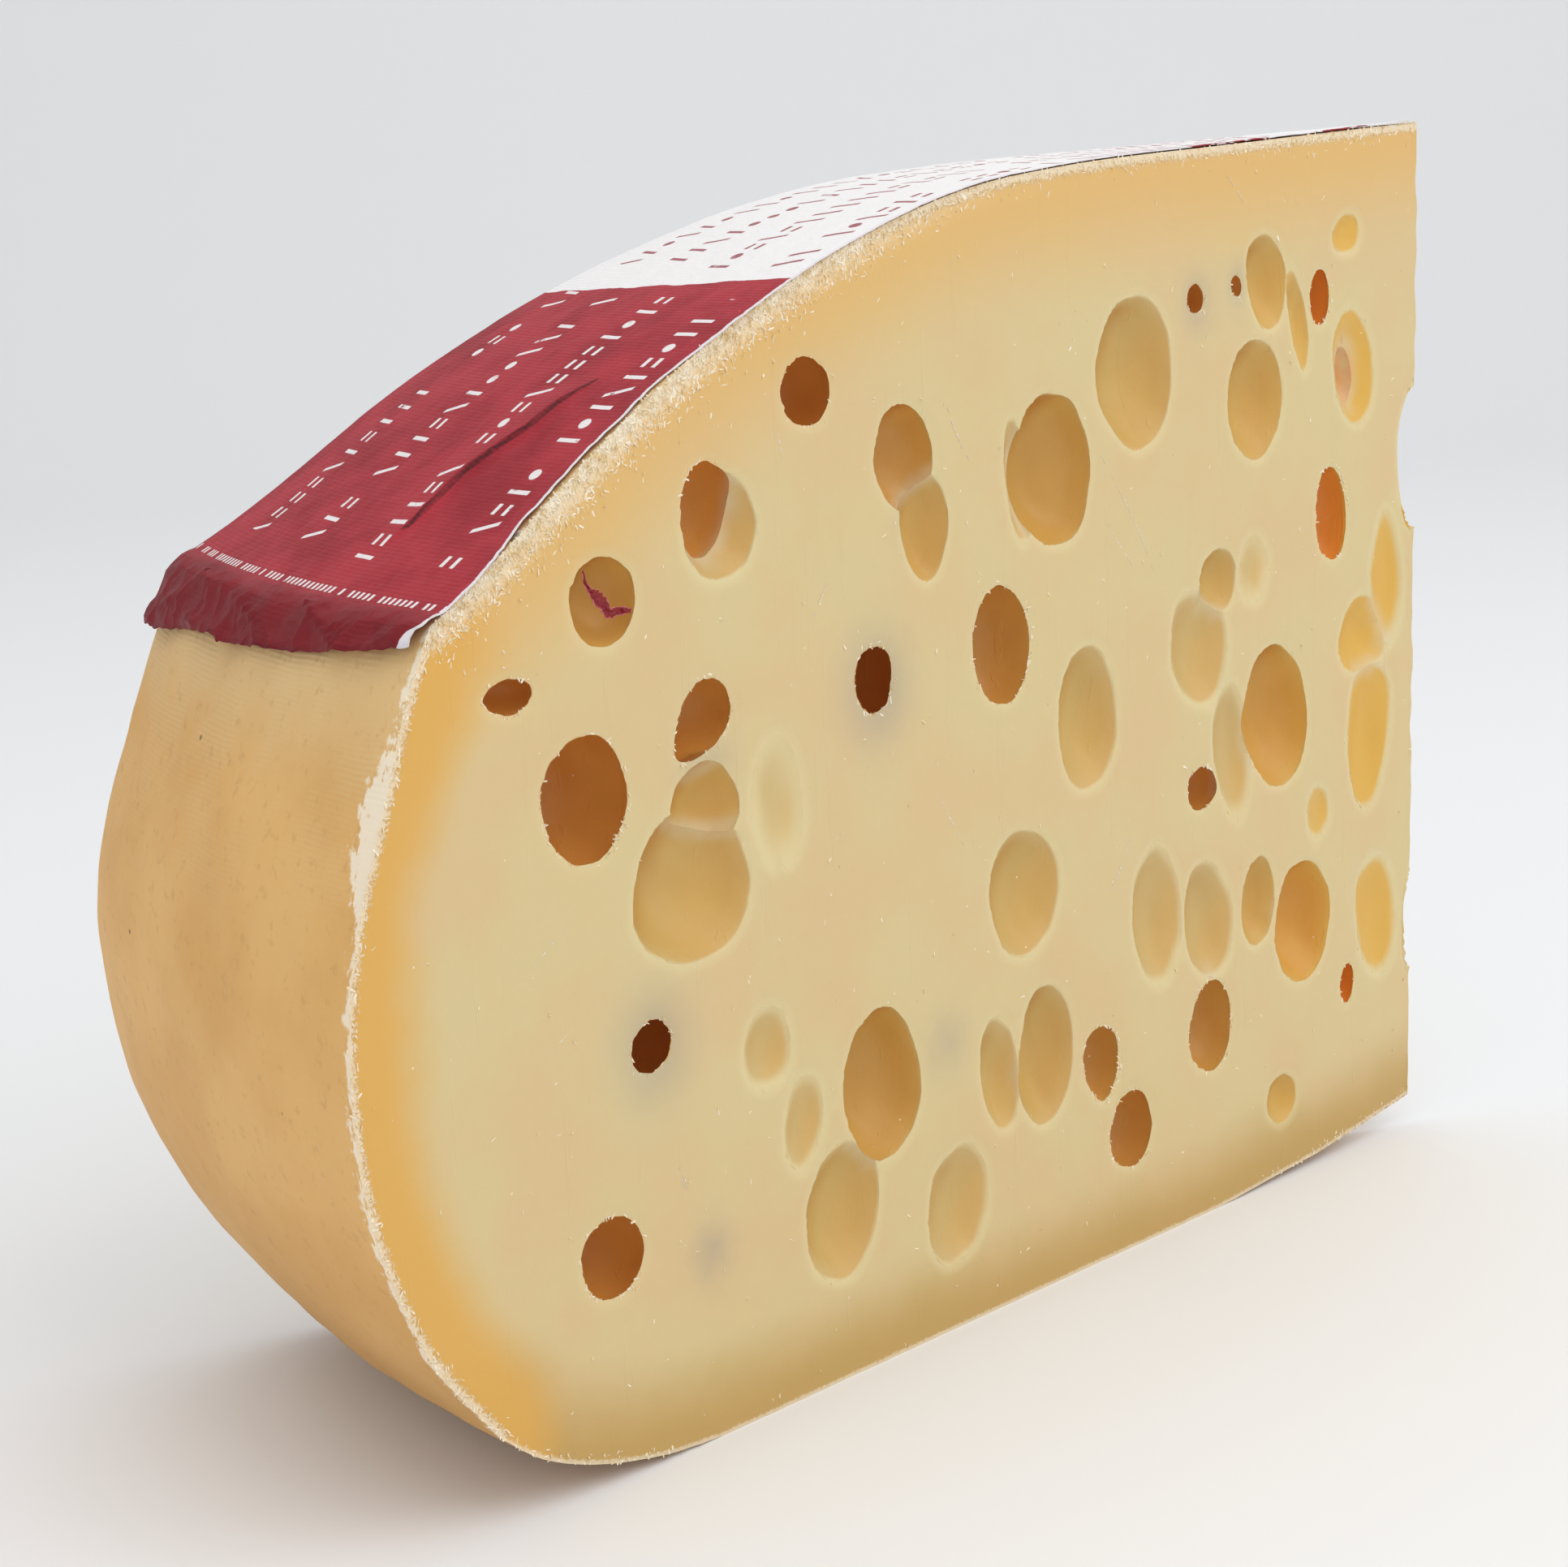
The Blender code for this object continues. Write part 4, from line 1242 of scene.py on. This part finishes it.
def paper_material():
    made, tree, shader = new_material("wrapping_paper_printed")
    map_at = add(tree, "ShaderNodeUVMap", uv_map="paper_map")
    place_at = add(tree, "ShaderNodeTexCoord", out="Object")
    along, angle = (add(tree, "ShaderNodeSeparateXYZ", Vector=map_at, out=side) for side in "XY")
    row, off_angle = cells(tree, add(tree, "SUBTRACT", angle, ROW_FIRST - ROW_PITCH / 2), ROW_PITCH)
    to_mm = add(tree, "MULTIPLY", along, math.pi / 180 * 0.955)
    across = add(tree, "MULTIPLY", off_angle, to_mm)
    shifted = add(tree, "ADD", along, add(tree, "MULTIPLY", row, ROW_SHIFT))
    cell, lengthways = cells(tree, shifted, MARK_PITCH)
    key = add(tree, "ShaderNodeCombineXYZ", X=cell, Y=row)
    pick = add(tree, "ShaderNodeTexWhiteNoise", noise_dimensions="2D", Vector=key, out="Value")
    far_across, far_along = add(tree, "ABSOLUTE", across), add(tree, "ABSOLUTE", lengthways)
    tall = add(tree, "RAMP", far_across, MARK_HALF + MARK_SOFT, MARK_HALF - MARK_SOFT)
    bar = add(tree, "MULTIPLY", add(tree, "RAMP", far_along, STROKE + MARK_SOFT, STROKE - MARK_SOFT),
              tall)
    slant = off_by(tree, lengthways, add(tree, "MULTIPLY", across, 0.45))
    slash = add(tree, "MULTIPLY", add(tree, "RAMP", slant, STROKE + MARK_SOFT, STROKE - MARK_SOFT), tall)
    dashes = add(tree, "MULTIPLY",
                 add(tree, "RAMP", far_along, DASH_HALF + MARK_SOFT, DASH_HALF - MARK_SOFT),
                 add(tree, "RAMP", off_by(tree, far_across, DASH_APART), STROKE + MARK_SOFT,
                     STROKE - MARK_SOFT))
    round_at = add(tree, "SQRT",
                   add(tree, "ADD", add(tree, "POWER", across, 2.0), add(tree, "POWER", lengthways, 2.0)))
    dot = add(tree, "RAMP", round_at, DOT_RADIUS + MARK_SOFT, DOT_RADIUS - MARK_SOFT)
    mark = add(tree, "MULTIPLY", bar, add(tree, "LESS_THAN", pick, 0.88))
    for shape, low, high in ((slash, 0.22, 0.45), (dashes, 0.45, 0.72), (dot, 0.72, 0.88)):
        chosen = add(tree, "MULTIPLY", add(tree, "GREATER_THAN", pick, low),
                     add(tree, "LESS_THAN", pick, high))
        mark = add(tree, "ADD", add(tree, "MULTIPLY", shape, chosen),
                   add(tree, "MULTIPLY", mark, add(tree, "SUBTRACT", 1.0, chosen)))
    printed = [add(tree, "LESS_THAN", off_by(tree, along, middle), half) for middle, half in
               ((SHOULDER - PRINTED_RED[0], PRINTED_RED[1]), PRINTED_WHITE)]
    mark = add(tree, "MULTIPLY", mark, add(tree, "MAXIMUM", *printed))

    down = off_by(tree, along, SHOULDER - SMALL_ROW)
    round_rim = add(tree, "MULTIPLY", angle, math.pi / 180 * SMALL_RADIUS)
    little, little_off = cells(tree, round_rim, SMALL_PITCH)
    little_pick = add(tree, "ShaderNodeTexWhiteNoise", noise_dimensions="1D", W=little, out="Value")
    little_off = add(tree, "ABSOLUTE", little_off)
    small = add(tree, "MULTIPLY", add(tree, "RAMP", little_off, 0.608, 0.304),
                add(tree, "RAMP", down, 1.15, 0.85))
    small = add(tree, "MULTIPLY", small, add(tree, "GREATER_THAN", little_pick, 0.18))
    worn = add(tree, "RAMP", add(tree, "NOISE", place_at, 1 / (4 * MM), 4, 0.7), 0.28, 0.4)

    wander = add(tree, "NOISE", place_at, 1 / (12 * MM), 3)
    edge = ragged(tree, along, wander, 2.4)
    edge = add(tree, "SUBTRACT", edge, add(tree, "MULTIPLY", angle, FIELD_SLANT))
    red_field = add(tree, "RAMP", edge, FIELD_EDGE - 0.15, FIELD_EDGE + 0.15)
    shade = add(tree, "NOISE", place_at, 1 / (20 * MM), 4, 0.6)
    scuff = add(tree, "NOISE", place_at, 1 / (2.2 * MM), 5, 0.75)
    red = add(tree, "BLEND", add(tree, "RAMP", shade, 0.38, 0.68), colour(PAPER_RED),
              colour(PAPER_RED_WORN))
    # The flap turning down over the rim is painted darker red, as painted shade.
    red = add(tree, "BLEND", add(tree, "RAMP", along, SHOULDER - 7, SHOULDER + 4), red, colour(FLAP_SHADE_RED))
    red = paint(tree, red, add(tree, "RAMP", scuff, 0.64, 0.8), 0.12, PAPER_WHITE)
    # A dark line of painted shadow along the long fold.
    red = add(tree, "BLEND",
              add(tree, "RAMP", add(tree, "ATTRIBUTE", attribute_name="folded"), 0.75, 0.2), red,
              colour(FOLD_SHADOW))
    print_at = add(tree, "MULTIPLY", add(tree, "MAXIMUM", mark, small), worn)
    red = paint(tree, red, print_at, 0.92, PAPER_WHITE)
    white = paint(tree, colour(PAPER_WHITE), print_at, 0.9, INK_RED)
    both = add(tree, "BLEND", red_field, white, red)
    corner = add(tree, "MULTIPLY", add(tree, "RAMP", along, SHOULDER + 0.5, SHOULDER + 5), 2.4)
    from_tear = add(tree, "SUBTRACT", add(tree, "ATTRIBUTE", attribute_name="torn_edge"),
                    add(tree, "MULTIPLY", scuff, 0.9))
    both = add(tree, "BLEND", add(tree, "RAMP", add(tree, "SUBTRACT", from_tear, corner), 0.35, 0.05),
               both, colour(PAPER_CORE))
    bits = add(tree, "MAXIMUM", *(add(tree, "RAMP", off_by(tree, along, middle), outer, inner)
                                  for middle, outer, inner in TORN_OFF))
    bits = add(tree, "MULTIPLY", add(tree, "MULTIPLY", bits, add(tree, "RAMP", from_tear, 1.4, 1.1)),
               add(tree, "RAMP", add(tree, "NOISE", place_at, 1 / (4 * MM), 3), 0.42, 0.5))
    both = add(tree, "BLEND", bits, both, colour(PAPER_RED_WORN))
    tree.links.new(both, shader.inputs["Base Color"])
    ribs = add(tree, "ShaderNodeTexWave", bands_direction="X", Vector=map_at,
               Scale=math.pi / 10 / RIB_PITCH, Distortion=0.8, Detail_Scale=0.4, out="Fac")
    relief = add(tree, "ADD", add(tree, "MULTIPLY", ribs, 0.35), add(tree, "MULTIPLY", scuff, 0.5))
    wrinkle = add(tree, "NOISE", place_at, 1 / (9 * MM), 5, 0.62)
    relief = add(tree, "ADD", relief, add(tree, "MULTIPLY", off_by(tree, wrinkle, 0.5), -6.0))
    facets = add(tree, "ShaderNodeTexVoronoi", feature="F1", Vector=place_at, Scale=1 / (12 * MM),
                 out="Distance")
    on_flap = add(tree, "RAMP", along, SHOULDER - 3, SHOULDER + 2)
    relief = add(tree, "ADD", relief, add(tree, "MULTIPLY", add(tree, "MULTIPLY", facets, on_flap), 30.0))
    tree.links.new(add(tree, "ShaderNodeBump", Height=relief, Distance=0.16 * MM),
                   shader.inputs["Normal"])
    shader.inputs["Roughness"].default_value = 0.6
    shader.inputs["Specular IOR Level"].default_value = 0.32
    shader.inputs["IOR"].default_value = 1.48
    return made


paper_look = paper_material()
label_mesh.materials.append(paper_look)
label_mesh.polygons.foreach_set("use_smooth", np.ones(len(label_mesh.polygons), bool))
label = in_scene("label_paper", label_mesh)
thick = label.modifiers.new("thickness", "SOLIDIFY")
thick.thickness = PAPER_THICK * MM
thick.offset = 1 if label_mesh.polygons[0].normal.z > 0 else -1
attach(label, "root")
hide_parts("label")
print("paper faces:", len(label_mesh.polygons))

# %% [markdown]
# The knife tore a strip off the same red paper and left it across one eye: a narrow
# crumpled band along a bent line, widest where it kinks, with a pale torn edge.

# %% The scrap in the eye
SCRAP_EYE = (281.0, 186.4)
SCRAP_LINE = [(-4.6, 6.2), (-4.2, 4.4), (-3.4, 2.2), (-1.6, 1.0), (0.2, -1.4), (1.6, -3.2),
              (4.0, -2.9), (7.2, -3.3)]
SCRAP_WIDTHS = [0.3, 0.6, 1.3, 2.9, 2.3, 1.7, 1.7, 0.7]
SCRAP_BACK = 0.7
SCRAP_RED = "#84020F"
SCRAP_TORN = "#C96A72"


def scrap_mesh():
    line = resample(smooth_line(SCRAP_LINE, 8), 0.22)
    share = np.linspace(0, 1, len(line))
    widths = np.interp(share, np.linspace(0, 1, len(SCRAP_WIDTHS)), SCRAP_WIDTHS)
    way = np.gradient(line, axis=0)
    way /= np.linalg.norm(way, axis=1)[:, None]
    side = np.stack([-way[:, 1], way[:, 0]], -1)
    lanes = 6
    vertices, edge = [], []
    for i, (point, width) in enumerate(zip(line, widths)):
        for lane in range(lanes + 1):
            t = lane / lanes - 0.5
            uneven = 1 + 0.6 * noise.noise(Vector((i / 2.2, t * 4, 1.0)))
            x, z = point + side[i] * t * width * uneven
            back = SCRAP_BACK + 0.35 * width * abs(t) * math.sin(i / 4)
            back += 0.5 * noise.noise(Vector((i / 5, t * 3, 5)))
            vertices.append(((-SCRAP_EYE[0] + CENTRE_X + x) * MM, (back - CENTRE_Y) * MM,
                             (SCRAP_EYE[1] + z) * MM))
            edge.append(1.0 if lane in (0, lanes) else 0.0)
    wide = lanes + 1
    faces = [(i * wide + j, i * wide + j + 1, (i + 1) * wide + j + 1, (i + 1) * wide + j)
             for i in range(len(line) - 1) for j in range(lanes)]
    mesh = new_mesh("label_scrap_torn", vertices, faces)
    write_attribute(mesh, "torn", edge)
    return mesh


def scrap_material():
    made, tree, shader = new_material("wrapping_paper_torn")
    place_at = add(tree, "ShaderNodeTexCoord", out="Object")
    fibre = add(tree, "NOISE", place_at, 1 / (0.9 * MM), 3, 0.7)
    torn = ragged(tree, add(tree, "ATTRIBUTE", attribute_name="torn"), fibre, 0.7)
    red = add(tree, "BLEND", add(tree, "RAMP", torn, 0.6, 0.85), colour(SCRAP_RED), colour(SCRAP_TORN))
    tree.links.new(red, shader.inputs["Base Color"])
    tree.links.new(add(tree, "ShaderNodeBump", Height=fibre, Distance=0.1 * MM), shader.inputs["Normal"])
    shader.inputs["Roughness"].default_value = 0.5
    return made


scrap = in_scene("label_scrap_torn", scrap_mesh())
scrap.data.materials.append(scrap_material())
thick = scrap.modifiers.new("thickness", "SOLIDIFY")
thick.thickness = PAPER_THICK * MM
thick.offset = 0
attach(scrap, "root")
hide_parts("label_scrap")
print("scrap faces:", len(scrap.data.polygons))

# %% [markdown]
# A plain pale floor that sweeps up behind the cheese keeps the eye on it, and soft large
# lamps give the even light of a table by a window.

# %% Floor, lamps and camera
FLOOR_FRONT = -2.2
FLOOR_BACK = 1.6
SWEEP_RADIUS = 0.9
SWEEP_TOP = 3.5
SWEEP_HALF = 4.0
SWEEP_TURN = math.radians(-43.6)
SWEEP_GREY = "#F3F3F4"
CAMERA_AT = (-0.4655, -0.4938, 0.2755)
CAMERA_YAW, CAMERA_PITCH, CAMERA_ROLL = (math.radians(angle) for angle in (43.62, 12.91, -2.34))
CAMERA_LENS = 65.6
LAMPS_FACE = (0, 0, 0.13)
LAMPS = [("ceiling", 12.0, 2.4, (0, 0, 2.0)), ("front_high", 11.5, 1.6, (0.2, -1.5, 1.8)),
         ("front_right", 4.2, 1.2, (1.3, -1.4, 1.0)), ("camera_side", 1.2, 1.2, (-1.1, -1.3, 1.0)),
         ("left_low", 1.6, 1.2, (-1.9, 0.2, 0.8))]
ROOM_TINT = (0.97, 0.99, 1.0, 1)
ROOM_LIGHT = 0.62


def stage_sweep():
    """The floor, with a quarter circle up to the wall behind, turned to face the camera."""
    profile = [(FLOOR_FRONT, 0.0), (FLOOR_BACK, 0.0)]
    profile += [(FLOOR_BACK + SWEEP_RADIUS * math.sin(a), SWEEP_RADIUS * (1 - math.cos(a)))
                for a in np.linspace(0.1, math.pi / 2, 12)]
    profile += [(FLOOR_BACK + SWEEP_RADIUS, SWEEP_TOP)]
    vertices = [(x, y, z) for x in (-SWEEP_HALF, SWEEP_HALF) for y, z in profile]
    count = len(profile)
    faces = [(i, i + 1, count + i + 1, count + i) for i in range(count - 1)]
    mesh = new_mesh("sweep", vertices, faces)
    made, _, shader = new_material("paper_sweep")
    shader.inputs["Base Color"].default_value = colour(SWEEP_GREY)
    shader.inputs["Roughness"].default_value = 0.7
    mesh.materials.append(made)
    mesh.polygons.foreach_set("use_smooth", np.ones(len(mesh.polygons), bool))
    sweep = in_scene("sweep", mesh)
    sweep.rotation_euler = (0, 0, SWEEP_TURN)


def lamp(name, power, size, at):
    """A square soft lamp that faces the middle of the cheese."""
    light = bpy.data.lights.new(name, "AREA")
    light.energy = power
    light.size = size
    made = in_scene(name, light)
    made.location = at
    made.rotation_euler = (Vector(LAMPS_FACE) - Vector(at)).to_track_quat("-Z", "Y").to_euler()


def camera():
    """The photo's camera, which leans a little to one side."""
    level = Vector((math.sin(CAMERA_YAW), math.cos(CAMERA_YAW), 0))
    right = Vector((math.cos(CAMERA_YAW), -math.sin(CAMERA_YAW), 0))
    top = Vector((0, 0, 1))
    forward = level * math.cos(CAMERA_PITCH) - top * math.sin(CAMERA_PITCH)
    up = top * math.cos(CAMERA_PITCH) + level * math.sin(CAMERA_PITCH)
    turned_right = right * math.cos(CAMERA_ROLL) + up * math.sin(CAMERA_ROLL)
    turned_up = up * math.cos(CAMERA_ROLL) - right * math.sin(CAMERA_ROLL)
    data = bpy.data.cameras.new("camera")
    data.lens = CAMERA_LENS
    data.sensor_width = 36
    made = in_scene("camera", data)
    made.matrix_world = Matrix((turned_right, turned_up, -forward)).transposed().to_4x4()
    made.location = CAMERA_AT
    bpy.context.scene.camera = made


stage_sweep()
for settings in LAMPS:
    lamp(*settings)
world = bpy.data.worlds.new("room")
bpy.context.scene.world = world
world.use_nodes = True
room = world.node_tree.nodes["Background"].inputs
room["Color"].default_value = ROOM_TINT
room["Strength"].default_value = ROOM_LIGHT
bpy.context.scene.view_settings.view_transform = "Standard"
camera()
print("lamps:", [settings[0] for settings in LAMPS])
